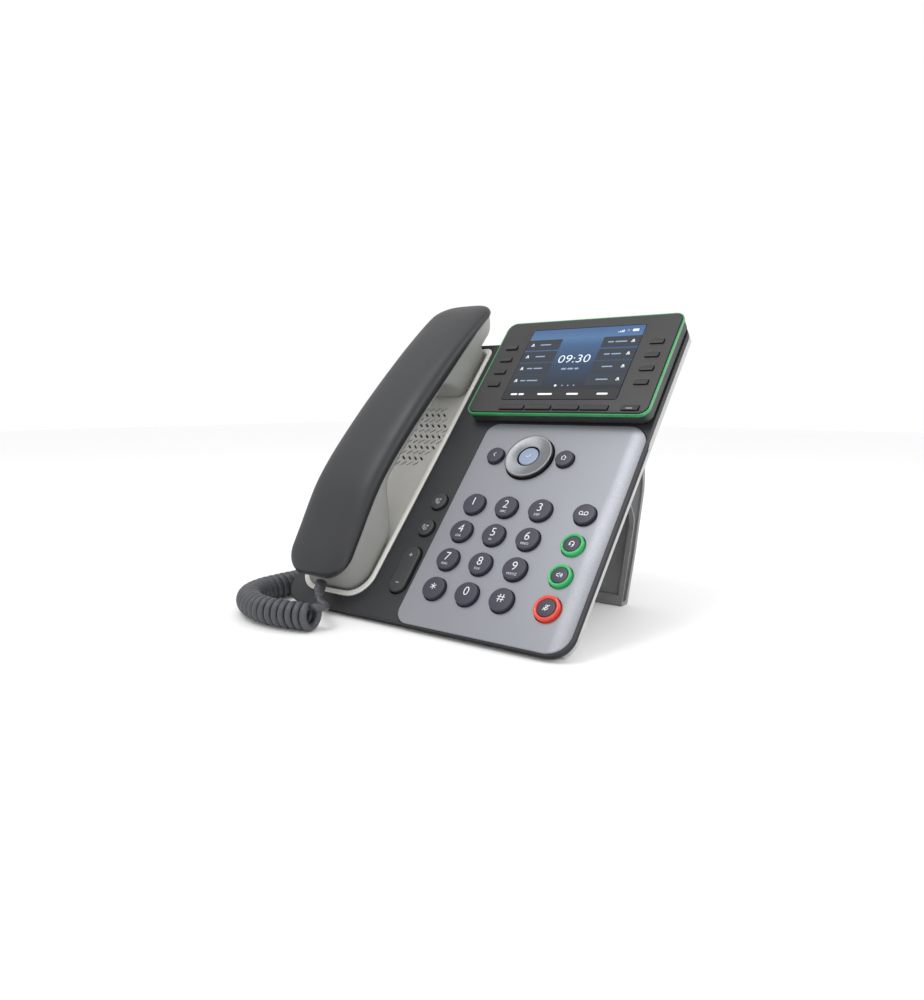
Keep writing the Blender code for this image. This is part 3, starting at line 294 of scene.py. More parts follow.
def turned_aluminium():
    """Aluminium faced on a lathe: fine rings that stretch the light across them, so it fans out."""
    made, tree, shader = new_material("turned_aluminium")
    centred_on_ring = add_node(
        tree, "ShaderNodeVectorMath", {0: flat_place(tree), 1: (0.0, NAV_V, 0.0)}, operation="SUBTRACT"
    )
    split = add_node(tree, "ShaderNodeSeparateXYZ", {0: centred_on_ring.outputs["Vector"]}).outputs
    minus = add_node(tree, "ShaderNodeMath", {0: split["Y"], 1: -1.0}, operation="MULTIPLY")
    around = add_node(tree, "ShaderNodeCombineXYZ", {"X": minus.outputs["Value"], "Y": split["X"]})
    leaning = add_node(
        tree, "ShaderNodeVectorRotate",
        {"Vector": around.outputs["Vector"], "Angle": SLOPE}, rotation_type="X_AXIS",
    )
    tangent = add_node(tree, "ShaderNodeVectorMath", {0: leaning.outputs["Vector"]}, operation="NORMALIZE")
    flat = add_node(tree, "ShaderNodeCombineXYZ", {"X": split["X"], "Y": split["Y"]})
    radius = add_node(tree, "ShaderNodeVectorMath", {0: flat.outputs["Vector"]}, operation="LENGTH")
    rings = add_node(
        tree, "ShaderNodeTexNoise", {"W": radius.outputs["Value"], "Scale": 5200.0, "Detail": 2.0},
        noise_dimensions="1D",
    ).outputs["Fac"]
    feed(tree, shader, {
        "Tangent": tangent.outputs["Vector"],
        "Base Color": mixed(tree, rings, "66686c", "96989b"),
        "Normal": bumped(tree, rings, 0.12),
        "Metallic": 1.0, "Roughness": 0.30, "Anisotropic": 0.8,
    })
    return made


def light_guide(name, tint, deep, glow):
    """A clear acrylic light guide, lit from inside: an even glow, deeper in patches at random."""
    made, tree, shader = new_material(name)
    mix = mixed(tree, noise(tree, flat_place(tree), 60.0, 2.0), deep, tint)
    feed(tree, shader, {
        "Base Color": mix, "Emission Color": mix, "Emission Strength": glow,
        "Roughness": 0.22, "IOR": ACRYLIC_IOR, "Coat Weight": 0.5,
    })
    return made


def pad_print(name, tint, glow=0.0):
    """Pad-printed ink: matt, thin, with a slightly uneven film."""
    made, tree, shader = new_material(name)
    film = noise(tree, flat_place(tree), 1500.0, 2.0)
    shade = scaled(tree, colour(tint)[:3], remapped(tree, film, 0.3, 0.7, 0.86, 1.0))
    feed(tree, shader, {"Base Color": shade, "Roughness": 0.55})
    if glow:
        feed(tree, shader, {"Emission Color": shade, "Emission Strength": glow})
    return made


def display_glass():
    """A lit colour panel bonded under its cover glass: pale blue at the head of the picture, navy below."""
    made, tree, shader = new_material("display_glass")
    where = flat_place(tree)
    height = add_node(tree, "ShaderNodeSeparateXYZ", {0: where}).outputs["Y"]
    foot, head = SCREEN_V - SCREEN_HEIGHT / 2, SCREEN_V + SCREEN_HEIGHT / 2
    ramp = add_node(tree, "ShaderNodeValToRGB", {"Fac": remapped(tree, height, foot, head, 0.0, 1.0)})
    stops = ramp.color_ramp.elements
    stops[0].position, stops[0].color = 0.0, colour("030810")
    stops[1].position, stops[1].color = 1.0, colour("2a4a72")
    for place, code in ((0.18, "061320"), (0.45, "102a44"), (0.75, "25466a"), (0.86, "3a5a7e")):
        stop = stops.new(place)
        stop.color = colour(code)
    dim = remapped(tree, noise(tree, where, 900.0, 1.0), 0.3, 0.7, 0.93, 1.0)
    lit = scaled(tree, ramp.outputs["Color"], dim)
    feed(tree, shader, {
        "Base Color": lit, "Emission Color": lit, "Emission Strength": 0.45,
        "Roughness": 0.12, "IOR": GLASS_IOR,
    })
    return made


def vinyl_jacket():
    """Extruded PVC jacket of the cord: a soft sheen, with dust."""
    made, tree, shader = new_material("vinyl_jacket")
    dust = noise(tree, object_place(tree), 700.0, 3.0)
    feed(tree, shader, {
        "Base Color": mixed(tree, dust, "34353a", "4d4e54"), "Normal": bumped(tree, dust, 0.08),
        "Roughness": 0.46, "IOR": ABS_IOR,
    })
    return made


def studio_floor():
    made, tree, shader = new_material("studio_floor")
    feed(tree, shader, {"Base Color": colour("fafafa"), "Roughness": 0.6})
    return made


HOUSING = moulded("dark_grey_abs", "212226", "1a1b1f", 0.52)
HANDSET_BACK = moulded("charcoal_soft_touch_abs", "232428", "1c1d20", 0.46, 0.00030, 0.05)
PALE = moulded("light_grey_abs", "a2a39f", "949591", 0.46)
CRADLE = moulded("warm_white_abs", "deddd8", "d2d1cc", 0.44)
SHELL = moulded("mid_light_grey_abs", "b8b9b8", "abacab", 0.48)
STAND = moulded("stand_grey_abs", "828382", "747574", 0.48)
BEZEL = moulded("satin_grey_polycarbonate", "201f21", "19181a", 0.36, 0.00030, 0.02)
# The display head's tray: grey plastic, with its dark grey partly painted shade for the shadow under the
# bezel and its light ring.
HEAD_TRAY_SHADE = moulded("dark_grey_polycarbonate", "2c2d2e", "242526", 0.42)
KEY = moulded("keycap_grey_polycarbonate", "2e2e3e", "262635", 0.42, 0.00025, 0.04)
STRIP_KEY = moulded("keycap_dark_grey_polycarbonate", "2b2c30", "232428", 0.45, 0.00025, 0.04)
DISPLAY_KEY = moulded("keycap_black_polycarbonate", "19181a", "121113", 0.36, 0.00025, 0.03)
SKIRT = moulded("black_abs", "141416", "0e0e10", 0.40)
SILICONE = moulded("grey_silicone", "76838d", "68757f", 0.70, 0.0006, 0.10)
LAMINATE = moulded("green_fr4_laminate", "23603f", "1a4f33", 0.45, 0.0005, 0.05)
RUBBER = moulded("black_rubber", "161617", "0f0f10", 0.75, 0.0005, 0.15)
CLEAR_PLUG = moulded("smoke_polycarbonate", "232426", "1a1b1d", 0.20, 0.0008, 0.02, 0.5)
SELECT = moulded("pearl_blue_polycarbonate", "8c9ab2", "7886a0", 0.28, 0.0003, 0.02, 0.2)
PLATE = silver_lacquer()
RING = turned_aluminium()
GREEN = light_guide("green_light_guide", "2fa860", "15783c", 0.45)
EDGE_GREEN = light_guide("green_edge_light_guide", "1f8f4c", "0f6a33", 0.30)
RED = light_guide("red_light_guide", "cc3a22", "9c2010", 0.45)
WHITE_INK = pad_print("white_ink", "e9eaee")
GREY_INK = pad_print("grey_ink", "b4b5b8")
SCREEN = display_glass()
# Painted shade: the stand's side panels are darker to stand for the shadow that lies on the stand's sides.
STAND_SHADE_PANEL = moulded("stand_panel_painted_shade_abs", "48494b", "3e3f41", 0.50)
SCREEN_TILE = pad_print("screen_tile", "0c1826", 0.25)
SCREEN_BAR = pad_print("screen_foot_bar", "04070c", 0.05)
SCREEN_LIGHT = pad_print("screen_white", "d5dae2", 0.45)
SCREEN_SOFT = pad_print("screen_pale_blue", "7d90aa", 0.30)
JACKET = vinyl_jacket()


# ---- outlines ----------------------------------------------------------------------------------

def filleted(corners):
    """Turn (x, y, radius) corners into points with round corners."""
    points = []
    count = len(corners)
    for i, (x, y, radius) in enumerate(corners):
        corner = Vector((x, y))
        if radius <= 0:
            points.append((x, y))
            continue
        before = (Vector(corners[i - 1][:2]) - corner).normalized()
        after = (Vector(corners[(i + 1) % count][:2]) - corner).normalized()
        half = before.angle(after) / 2
        middle = corner + (before + after).normalized() * (radius / math.sin(half))
        start = corner + before * (radius / math.tan(half)) - middle
        turn = start.angle_signed(corner + after * (radius / math.tan(half)) - middle)
        steps = max(3, round(abs(turn) / ARC_STEP))
        for step in range(steps + 1):
            spoke = start.copy()
            spoke.rotate(Matrix.Rotation(-turn * step / steps, 2))
            points.append(tuple(middle + spoke))
    return points


def rectangle(left, right, foot, head, radius, inset=0.0):
    left, right, foot, head = left + inset, right - inset, foot + inset, head - inset
    radius = max(radius - inset, 0.0)
    corners = ((left, foot), (right, foot), (right, head), (left, head))
    return filleted([(x, y, radius) for x, y in corners])


def centred(u, v, width, height, radius, inset=0.0):
    return rectangle(u - width / 2, u + width / 2, v - height / 2, v + height / 2, radius, inset)


def circle(u, v, radius, steps=64):
    return [
        (u + radius * math.cos(math.tau * i / steps), v + radius * math.sin(math.tau * i / steps))
        for i in range(steps)
    ]


def body_outline(inset=0.0, foot=BODY_FOOT):
    left, right, foot = BODY_LEFT + inset, BODY_RIGHT - inset, foot + inset
    head, shoulder, step = BODY_HEAD - inset, SHOULDER_V - inset, SHOULDER_U + inset
    corner, small = BODY_CORNER - inset, SHOULDER_CORNER - inset
    return filleted([
        (left, foot, corner), (right, foot, corner), (right, head, corner),
        (step, head, small), (step, shoulder, SHOULDER_CORNER / 2), (left, shoulder, corner),
    ])


def shell_outline(inset=0.0):
    return body_outline(inset, BODY_FOOT + SHELL_CHIN_INSET)


def plate_outline(inset=0.0):
    return filleted([
        (PLATE_LEFT + inset, PLATE_FOOT + inset, PLATE_CORNER - inset),
        (PLATE_RIGHT - inset, PLATE_FOOT + inset, BODY_CORNER - inset),
        (PLATE_RIGHT - inset, PLATE_HEAD - inset, BODY_CORNER - inset),
        (PLATE_LEFT + inset, PLATE_HEAD - inset, PLATE_CORNER - inset),
    ])


def head_outline(inset=0.0):
    return rectangle(HEAD_LEFT, HEAD_RIGHT, HEAD_FOOT, HEAD_TOP, HEAD_CORNER, inset)


def cradle_outline(inset=0.0):
    half = CRADLE_WIDTH / 2 - inset
    foot, head = CRADLE_FOOT + inset, CRADLE_HEAD - inset
    corner, head_corner = CRADLE_CORNER - inset, CRADLE_HEAD_CORNER - inset
    return filleted([
        (CRADLE_U - half, foot, corner), (CRADLE_U + half, foot, corner),
        (CRADLE_U + half, head, head_corner), (CRADLE_U - half, head, head_corner),
    ])


# ---- mesh making -------------------------------------------------------------------------------

PLANES = {
    "uv": Matrix(((1, 0, 0), (0, 1, 0), (0, 0, 1))).to_4x4(),
    "un": Matrix(((1, 0, 0), (0, 0, 1), (0, 1, 0))).to_4x4(),
    "vn": Matrix(((0, 0, 1), (1, 0, 0), (0, 1, 0))).to_4x4(),
}


def evaluated_mesh(obj):
    """A plain mesh of the object as it is shown; the object is removed."""
    graph = bpy.context.evaluated_depsgraph_get()
    mesh = bpy.data.meshes.new_from_object(obj.evaluated_get(graph))
    bpy.data.objects.remove(obj, do_unlink=True)
    return mesh


def close_up(mesh, distance=1e-6):
    """Weld loose caps and seams and turn the faces outwards."""
    work = bmesh.new()
    work.from_mesh(mesh)
    bmesh.ops.remove_doubles(work, verts=work.verts, dist=distance)
    bmesh.ops.recalc_face_normals(work, faces=work.faces)
    work.to_mesh(mesh)
    work.free()
    return mesh


def slab(outlines, low, high, edge=0.0, plane="uv"):
    """A flat piece with rounded edges: the first outline is its rim and the others are holes."""
    curve = bpy.data.curves.new("slab", "CURVE")
    curve.dimensions = "2D"
    curve.fill_mode = "BOTH"
    curve.extrude = (high - low) / 2 - edge
    curve.bevel_depth = edge
    curve.bevel_resolution = 2
    curve.offset = -edge
    for outline in outlines:
        spline = curve.splines.new("POLY")
        spline.points.add(len(outline) - 1)
        for point, (x, y) in zip(spline.points, outline):
            point.co = (x, y, 0.0, 1.0)
        spline.use_cyclic_u = True
    drawn = shown("slab", curve)
    mesh = evaluated_mesh(drawn)
    mesh.transform(PLANES[plane] @ Matrix.Translation((0, 0, (low + high) / 2)))
    return close_up(mesh)


def spun(profile, u=0.0, v=0.0, steps=72):
    """A turned piece: its (radius, n) profile runs round the N axis at u, v."""
    work = bmesh.new()
    verts = [work.verts.new((radius, 0.0, n)) for radius, n in profile]
    edges = [work.edges.new(pair) for pair in zip(verts, verts[1:])]
    bmesh.ops.spin(
        work, geom=verts + edges, angle=math.tau, steps=steps, axis=(0, 0, 1), cent=(0, 0, 0)
    )
    mesh = finished(work, "spun")
    mesh.transform(Matrix.Translation((u, v, 0)))
    return close_up(mesh)


def box_mesh(low, high):
    work = bmesh.new()
    size = Vector(high) - Vector(low)
    bmesh.ops.create_cube(
        work, size=1.0, matrix=Matrix.LocRotScale((Vector(high) + Vector(low)) / 2, None, size)
    )
    return finished(work, "box")


def shaped(mesh, cutters=(), keep=(), joined=(), edge=0.0, steps=2):
    """Cut, keep or join other meshes, then round the edges; every mesh given is used up."""
    obj = shown("shaped", mesh)
    tools = []
    for operation, group in (("UNION", joined), ("INTERSECT", keep), ("DIFFERENCE", cutters)):
        for other in group:
            tool = shown("tool", other)
            tools.append(tool)
            boolean = obj.modifiers.new("boolean", "BOOLEAN")
            boolean.operation, boolean.object, boolean.solver = operation, tool, "EXACT"
    if edge:
        bevel = obj.modifiers.new("edge", "BEVEL")
        bevel.width, bevel.segments = edge, steps
        bevel.limit_method, bevel.angle_limit = "ANGLE", math.radians(40)
    made = evaluated_mesh(obj)
    for tool in tools:
        bpy.data.objects.remove(tool, do_unlink=True)
    return made


def lofted(rings):
    """Skin rows of points into one closed surface."""
    work = bmesh.new()
    rows = [[work.verts.new(point) for point in ring] for ring in rings]
    count = len(rows[0])
    for this, following in zip(rows, rows[1:]):
        for i in range(count):
            j = (i + 1) % count
            work.faces.new((this[i], this[j], following[j], following[i]))
    work.faces.new(rows[0])
    work.faces.new(rows[-1])
    bmesh.ops.recalc_face_normals(work, faces=work.faces)
    return finished(work, "loft")


def piece(name, layers, body, nodes=(), place=PHONE, sharp=40, weighted=True):
    """One object from (mesh, material) layers; it rides on a body and stands for its CAD nodes."""
    work = bmesh.new()
    mesh = bpy.data.meshes.new(name)
    for index, (layer, material) in enumerate(layers):
        first = len(work.faces)
        work.from_mesh(layer)
        for face in work.faces[first:]:
            face.material_index = index
        mesh.materials.append(material)
    work.to_mesh(mesh)
    work.free()
    mesh.transform(place)
    mesh.shade_smooth()
    mesh.set_sharp_from_angle(angle=math.radians(sharp))
    obj = shown(name, mesh)
    if weighted:
        even = obj.modifiers.new("even_shading", "WEIGHTED_NORMAL")
        even.keep_sharp = True
    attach(obj, body)
    if nodes:
        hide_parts(*nodes)
    return obj


# ---- lettering and icons -----------------------------------------------------------------------

INK = 0.00004


def lettering(text, u, v, height, n, width=None, thin=0.012):
    """Raised print, scaled to its height, with its middle at u, v and its foot at n."""
    curve = bpy.data.curves.new("lettering", "FONT")
    curve.body = text
    curve.align_x, curve.align_y = "CENTER", "CENTER"
    curve.size = 1.0
    curve.resolution_u = 4
    curve.offset = -thin
    drawn = shown("lettering", curve)
    mesh = evaluated_mesh(drawn)
    low = Vector([min(vert.co[axis] for vert in mesh.vertices) for axis in range(3)])
    high = Vector([max(vert.co[axis] for vert in mesh.vertices) for axis in range(3)])
    scale = height / (high.y - low.y)
    across = width / (high.x - low.x) if width else scale
    middle = (low + high) / 2
    sized = Matrix.Diagonal((across, scale, 1.0, 1.0)) @ Matrix.Translation(-middle)
    mesh.transform(Matrix.Translation((u, v, n)) @ sized)
    work = bmesh.new()
    work.from_mesh(mesh)
    bmesh.ops.remove_doubles(work, verts=work.verts, dist=1e-7)
    raised = bmesh.ops.extrude_face_region(work, geom=work.faces[:])
    for item in raised["geom"]:
        if isinstance(item, bmesh.types.BMVert):
            item.co.z += INK
    bmesh.ops.recalc_face_normals(work, faces=work.faces)
    work.to_mesh(mesh)
    work.free()
    return mesh


def stroke(points, width, n, closed=False):
    """A printed line through points, with round ends."""
    curve = bpy.data.curves.new("stroke", "CURVE")
    curve.dimensions = "3D"
    curve.bevel_depth = width / 2
    curve.bevel_resolution = 1
    curve.use_fill_caps = True
    spline = curve.splines.new("POLY")
    spline.points.add(len(points) - 1)
    for point, (x, y) in zip(spline.points, points):
        point.co = (x, y, 0.0, 1.0)
    spline.use_cyclic_u = closed
    drawn = shown("stroke", curve)
    mesh = evaluated_mesh(drawn)
    mesh.transform(Matrix.Translation((0, 0, n)) @ Matrix.Diagonal((1.0, 1.0, 2 * INK / width, 1.0)))
    return close_up(mesh)


def arc(u, v, radius, start, end, steps=14):
    """Points on a circle between two angles in degrees."""
    return [
        (u + radius * math.cos(math.radians(start + (end - start) * i / steps)),
         v + radius * math.sin(math.radians(start + (end - start) * i / steps)))
        for i in range(steps + 1)
    ]


def merged(meshes):
    """Several meshes as one."""
    work = bmesh.new()
    for mesh in meshes:
        work.from_mesh(mesh)
    return finished(work, "merged")


MM = 0.001
LINE = 0.00042


def icon_lines(name):
    """Each icon as lists of points in millimetres round the key's middle, and whether a list closes."""
    handset = [(-1.5, 1.0), (-1.7, 0.2), (-0.9, -1.1), (0.1, -1.8), (1.0, -1.7), (1.4, -1.0), (0.6, -0.4),
               (0.1, -0.8), (-0.7, 0.2), (-0.4, 0.8), (-1.0, 1.5)]
    return {
        "back": [([(0.6, 1.3), (-0.7, 0.0), (0.6, -1.3)], False)],
        "home": [([(-1.5, 0.0), (0.0, 1.5), (1.5, 0.0)], False),
                 ([(-1.0, 0.2), (-1.0, -1.3), (1.0, -1.3), (1.0, 0.2)], False)],
        "voicemail": [(arc(-1.6, 0.0, 1.1, 0, 360), True), (arc(1.6, 0.0, 1.1, 0, 360), True),
                      ([(-1.6, -1.1), (1.6, -1.1)], False)],
        "headset": [(arc(0.0, 0.1, 1.5, -10, 190), False), ([(-1.5, -0.1), (-1.5, -1.2)], False),
                    ([(1.5, -0.1), (1.5, -1.2)], False), ([(1.5, -1.2), (0.9, -1.9), (0.2, -1.9)], False),
                    (arc(-1.1, -0.7, 0.35, 0, 360), True), (arc(1.1, -0.7, 0.35, 0, 360), True)],
        "speaker": [([(-1.7, 0.6), (-0.9, 0.6), (0.1, 1.5), (0.1, -1.5), (-0.9, -0.6), (-1.7, -0.6)], True),
                    (arc(-0.1, 0.0, 1.3, -40, 40), False), (arc(-0.1, 0.0, 2.0, -40, 40), False)],
        "mute": [([(-0.6, 1.5), (0.6, 1.5), (0.6, 0.0), (-0.6, 0.0)], True),
                 (arc(0.0, 0.1, 1.4, 190, 350), False),
                 ([(0.0, -1.3), (0.0, -2.1)], False), ([(-1.9, -1.9), (1.9, 1.9)], False)],
        "transfer": [(handset, True), ([(0.3, 0.8), (1.8, 0.8)], False),
                     ([(1.2, 1.4), (1.8, 0.8), (1.2, 0.2)], False)],
        "hold": [(handset, True), ([(0.7, 0.4), (0.7, 1.6)], False), ([(1.4, 0.4), (1.4, 1.6)], False)],
        "plus": [([(-1.1, 0.0), (1.1, 0.0)], False), ([(0.0, -1.1), (0.0, 1.1)], False)],
        "minus": [([(-1.1, 0.0), (1.1, 0.0)], False)],
        "star": [([(0.0, 0.0), (1.35 * math.sin(math.tau * i / 6), 1.35 * math.cos(math.tau * i / 6))], False)
                 for i in range(6)],
        "hash": [([(-0.9, -1.6), (-0.5, 1.6)], False), ([(0.5, -1.6), (0.9, 1.6)], False),
                 ([(-1.5, 0.55), (1.5, 0.55)], False), ([(-1.5, -0.55), (1.5, -0.55)], False)],
        "person": [(arc(0.0, 0.9, 0.6, 0, 360), True), (arc(0.0, -1.0, 1.2, 0, 180), True)],
    }[name]


def icon(name, u, v, n, scale=1.0, line=LINE):
    """The icon's printed lines in the phone's own drawing."""
    lines = []
    for points, closed in icon_lines(name):
        placed = [(u + x * MM * scale, v + y * MM * scale) for x, y in points]
        lines.append(stroke(placed, line, n, closed))
    return merged(lines)


# ---- cord --------------------------------------------------------------------------------------

COIL_Z = -TABLE_DROP + COIL_RADIUS + GAP
LEAD_ROUTE = [
    (-0.0915, -0.0381, -0.0309), (-0.0870, -0.0435, -0.0352), (-0.0790, -0.0500, -0.0370),
    (-0.0700, -0.0555, -0.0364), (-0.0647, -0.0605, -0.0356),
]
COIL_ROUTE = [
    (-0.0665, -0.0666, COIL_Z), (-0.0817, -0.0705, COIL_Z), (-0.0980, -0.0720, COIL_Z),
    (-0.1150, -0.0675, COIL_Z), (-0.1285, -0.0575, COIL_Z), (-0.1350, -0.0430, COIL_Z),
    (-0.1355, -0.0270, COIL_Z), (-0.1365, -0.0100, COIL_Z), (-0.1400, 0.0080, COIL_Z + 0.0040),
    (-0.1440, 0.0240, COIL_Z + 0.0160), (-0.1460, 0.0330, COIL_Z + 0.0300),
]
TAIL_ROUTE = [
    (-0.1460, 0.0375, 0.0020), (-0.1435, 0.0395, 0.0160),
    (-0.1370, 0.0390, 0.0248), (-0.1275, 0.0385, 0.0260),
]
TURN_PITCH = 0.0043
TURN_STEPS = 20
AXIS_SPACING, WIRE_SPACING = 0.002, 0.0012
JACKET_SIDES = 10
BOOT_POINTS, BOOT_SIDES, BOOT_SWELL, BOOT_RIB, BOOT_FIT = 12, 16, 0.0010, 0.00035, 0.0001


def smooth_route(points, spacing):
    """Points of a smooth curve through the route's own points."""
    points = [Vector(point) for point in points]
    ends = [2 * points[0] - points[1], *points, 2 * points[-1] - points[-2]]
    route = [points[0]]
    for before, this, following, after in zip(ends, ends[1:], ends[2:], ends[3:]):
        steps = max(1, round((following - this).length / spacing))
        for step in range(1, steps + 1):
            t = step / steps
            route.append(0.5 * (
                2 * this
                + (following - before) * t
                + (2 * before - 5 * this + 4 * following - after) * t ** 2
                + (3 * this - before - 3 * following + after) * t ** 3
            ))
    return route


def even_route(points, count):
    """The same line, cut into count equal steps."""
    lengths = [0.0]
    for this, following in zip(points, points[1:]):
        lengths.append(lengths[-1] + (following - this).length)
    even, i = [], 0
    for step in range(count + 1):
        target = lengths[-1] * step / count
        while i < len(points) - 2 and lengths[i + 1] < target:
            i += 1
        share = (target - lengths[i]) / (lengths[i + 1] - lengths[i])
        even.append(points[i].lerp(points[i + 1], min(share, 1.0)))
    return even


def carried_frames(points, first):
    """A side direction at each point, carried along the line without twisting."""
    sides = []
    side = Vector(first)
    for i in range(len(points)):
        ahead = (points[min(i + 1, len(points) - 1)] - points[max(i - 1, 0)]).normalized()
        side = (side - ahead * side.dot(ahead)).normalized()
        sides.append((ahead, side.copy(), ahead.cross(side)))
    return sides


def curly_path():
    """The wire's centreline: the lead from the handset, the turns of the coil, and the tail to the plug."""
    axis = smooth_route(COIL_ROUTE, AXIS_SPACING)
    length = sum((b - a).length for a, b in zip(axis, axis[1:]))
    turns = round(length / TURN_PITCH)
    axis = even_route(axis, turns * TURN_STEPS)
    radius = COIL_RADIUS - WIRE_RADIUS
    coil = []
    for i, (ahead, side, other) in enumerate(carried_frames(axis, (0, 0, 1))):
        angle = math.tau * i / TURN_STEPS
        from_end = len(axis) - 1 - i
        reach = radius * min(1.0, 0.15 + from_end / TURN_STEPS)
        coil.append(axis[i] + side * (reach * math.cos(angle)) + other * (reach * math.sin(angle)))
    lead = smooth_route([*LEAD_ROUTE, coil[0]], WIRE_SPACING)
    tail = smooth_route([coil[-1], *TAIL_ROUTE], WIRE_SPACING)
    path = [*lead[:-1], *coil, *tail[1:]]
    return [ORIGIN + point for point in path]


def jacket_mesh(path):
    """A round tube along the path, closed at both ends."""
    rings = []
    for ahead, side, other in carried_frames(path, (1, 0, 0)):
        ring = []
        for i in range(JACKET_SIDES):
            angle = math.tau * i / JACKET_SIDES
            ring.append(path[len(rings)] + (side * math.cos(angle) + other * math.sin(angle)) * WIRE_RADIUS)
        rings.append(ring)
    return lofted(rings)


def relief_boot(path):
    """The moulded strain relief that thickens the lead where it leaves the handset."""
    rings = []
    for i, (ahead, side, other) in enumerate(carried_frames(path[:BOOT_POINTS], (1, 0, 0))):
        rib = BOOT_RIB if i % 3 == 0 else 0.0
        radius = WIRE_RADIUS + BOOT_SWELL * (1 - i / BOOT_POINTS) + rib + BOOT_FIT
        ring = []
        for step in range(BOOT_SIDES):
            angle = math.tau * step / BOOT_SIDES
            ring.append(path[i] + (side * math.cos(angle) + other * math.sin(angle)) * radius)
        rings.append(ring)
    return lofted(rings)


def make_cord():
    path = curly_path()
    length = sum((b - a).length for a, b in zip(path, path[1:]))
    boot = relief_boot(path)
    mesh = merged([jacket_mesh(path), boot])
    mesh.name = "handset_cord"
    mesh.materials.append(JACKET)
    mesh.shade_smooth()
    cord = shown("handset_cord", mesh)
    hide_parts("handset_lead", "handset_coil", "handset_tail")
    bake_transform(cord)
    return length


# ---- keys --------------------------------------------------------------------------------------

LETTERS = {"2": "ABC", "3": "DEF", "4": "GHI", "5": "JKL", "6": "MNO", "7": "PQRS", "8": "TUV", "9": "WXYZ"}
DIGIT_HEIGHT, LETTER_HEIGHT = 0.0048, 0.00135
DIGIT_LIFT, LETTER_DROP = 0.0012, 0.0034
# From the top: the radius of each key in the function column.
FUNCTION_KEYS = {"voicemail": 0.00595, "headset": 0.0061, "speaker": 0.0061, "mute": 0.0068}
GREEN_BAND, RED_BAND, CAP_DROP, RING_ROUND = 0.0015, 0.0018, 0.0003, 0.0008


def cap_profile(radius, top, edge, foot, crown=KEY_CROWN):
    """A slightly crowned cap with a round edge."""
    profile = [(radius * share, top - crown * share ** 2) for share in (0.0, 0.25, 0.5, 0.75)]
    start = top - crown * (1 - edge / radius) ** 2
    for step in range(7):
        angle = math.radians(15 * step)
        profile.append((radius - edge * (1 - math.sin(angle)), start - edge * (1 - math.cos(angle))))
    return [*profile, (radius, foot), (0.0, foot)]


def flange(radius):
    outer = radius + FLANGE_RIM
    foot = FLANGE_TOP - FLANGE_THICK
    return [(0.0, FLANGE_TOP - GAP / 3), (outer, FLANGE_TOP - GAP / 3), (outer, foot), (0.0, foot)]


def dial_key(digit, u, v):
    name = f"key_{digit}"
    legends = []
    print_at = KEY_RISE - KEY_CROWN * 0.2
    if digit in ("star", "hash"):
        legends.append((icon(digit, u, v + DIGIT_LIFT / 2, print_at, 1.35, 0.00055), WHITE_INK))
    else:
        legends.append((lettering(digit, u, v + DIGIT_LIFT, DIGIT_HEIGHT, print_at), WHITE_INK))
    if digit in LETTERS:
        letters = lettering(LETTERS[digit], u, v - LETTER_DROP, LETTER_HEIGHT, print_at - KEY_CROWN * 0.2)
        legends.append((letters, WHITE_INK))
    layers = [
        (spun(cap_profile(DIAL_RADIUS, KEY_RISE, KEY_EDGE, FLANGE_TOP), u, v), KEY),
        (spun(flange(DIAL_RADIUS), u, v, 48), KEY),
        *legends,
    ]
    piece(f"{name}_cap", layers, name, [name])


def icon_key(use, u, v, radius, top, material, ink, scale=1.0):
    name = f"key_{use}"
    layers = [
        (spun(cap_profile(radius, top, KEY_EDGE, FLANGE_TOP), u, v), material),
        (spun(flange(radius), u, v, 48), material),
        (icon(use, u, v, top - KEY_CROWN * 0.12, scale), ink),
    ]
    piece(f"{name}_cap", layers, name, [name])


def lit_key(use, u, v, radius, band, material):
    """A key with a lit ring round a dark cap."""
    name = f"key_{use}"
    inner = radius - band
    cap_top = KEY_RISE - CAP_DROP
    ring = [(inner, KEY_RISE - 0.0012)]
    for step in range(13):
        angle = math.radians(15 * step)
        out = inner + band / 2 * (1 - math.cos(angle))
        ring.append((out, KEY_RISE - RING_ROUND + RING_ROUND * math.sin(angle)))
    ring += [(radius, FLANGE_TOP), (inner, FLANGE_TOP), ring[0]]
    layers = [
        (spun(cap_profile(inner - 0.0002, cap_top, 0.0004, FLANGE_TOP + 0.0005), u, v), KEY),
        (spun(ring, u, v), material),
        (spun(flange(radius), u, v, 48), material),
        (icon(use, u, v, cap_top, 0.82, 0.00038), WHITE_INK),
    ]
    piece(f"{name}_cap", layers, name, [name])


def make_round_keys():
    digits = ("1", "2", "3", "4", "5", "6", "7", "8", "9", "star", "0", "hash")
    for i, digit in enumerate(digits):
        dial_key(digit, (i % 3 - 1) * COLUMN_PITCH, (1 - i // 3) * ROW_PITCH)
    size = FUNCTION_KEYS
    icon_key("voicemail", FUNCTION_COLUMN, ROW_PITCH, size["voicemail"], KEY_RISE, KEY, WHITE_INK, 0.9)
    lit_key("headset", FUNCTION_COLUMN, 0.0, size["headset"], GREEN_BAND, GREEN)
    lit_key("speaker", FUNCTION_COLUMN, -ROW_PITCH, size["speaker"], GREEN_BAND, GREEN)
    lit_key("mute", FUNCTION_COLUMN, -2 * ROW_PITCH, size["mute"], RED_BAND, RED)
    for use, u in (("back", -SIDE_KEY_U), ("home", SIDE_KEY_U)):
        icon_key(use, u, NAV_V, SIDE_KEY_RADIUS, KEY_RISE, KEY, WHITE_INK)
    for use, v in (("hold", ROW_PITCH), ("transfer", 0.0)):
        icon_key(use, STRIP_KEY_U, v, STRIP_KEY_RADIUS, STRIP_KEY_TOP, STRIP_KEY, GREY_INK)


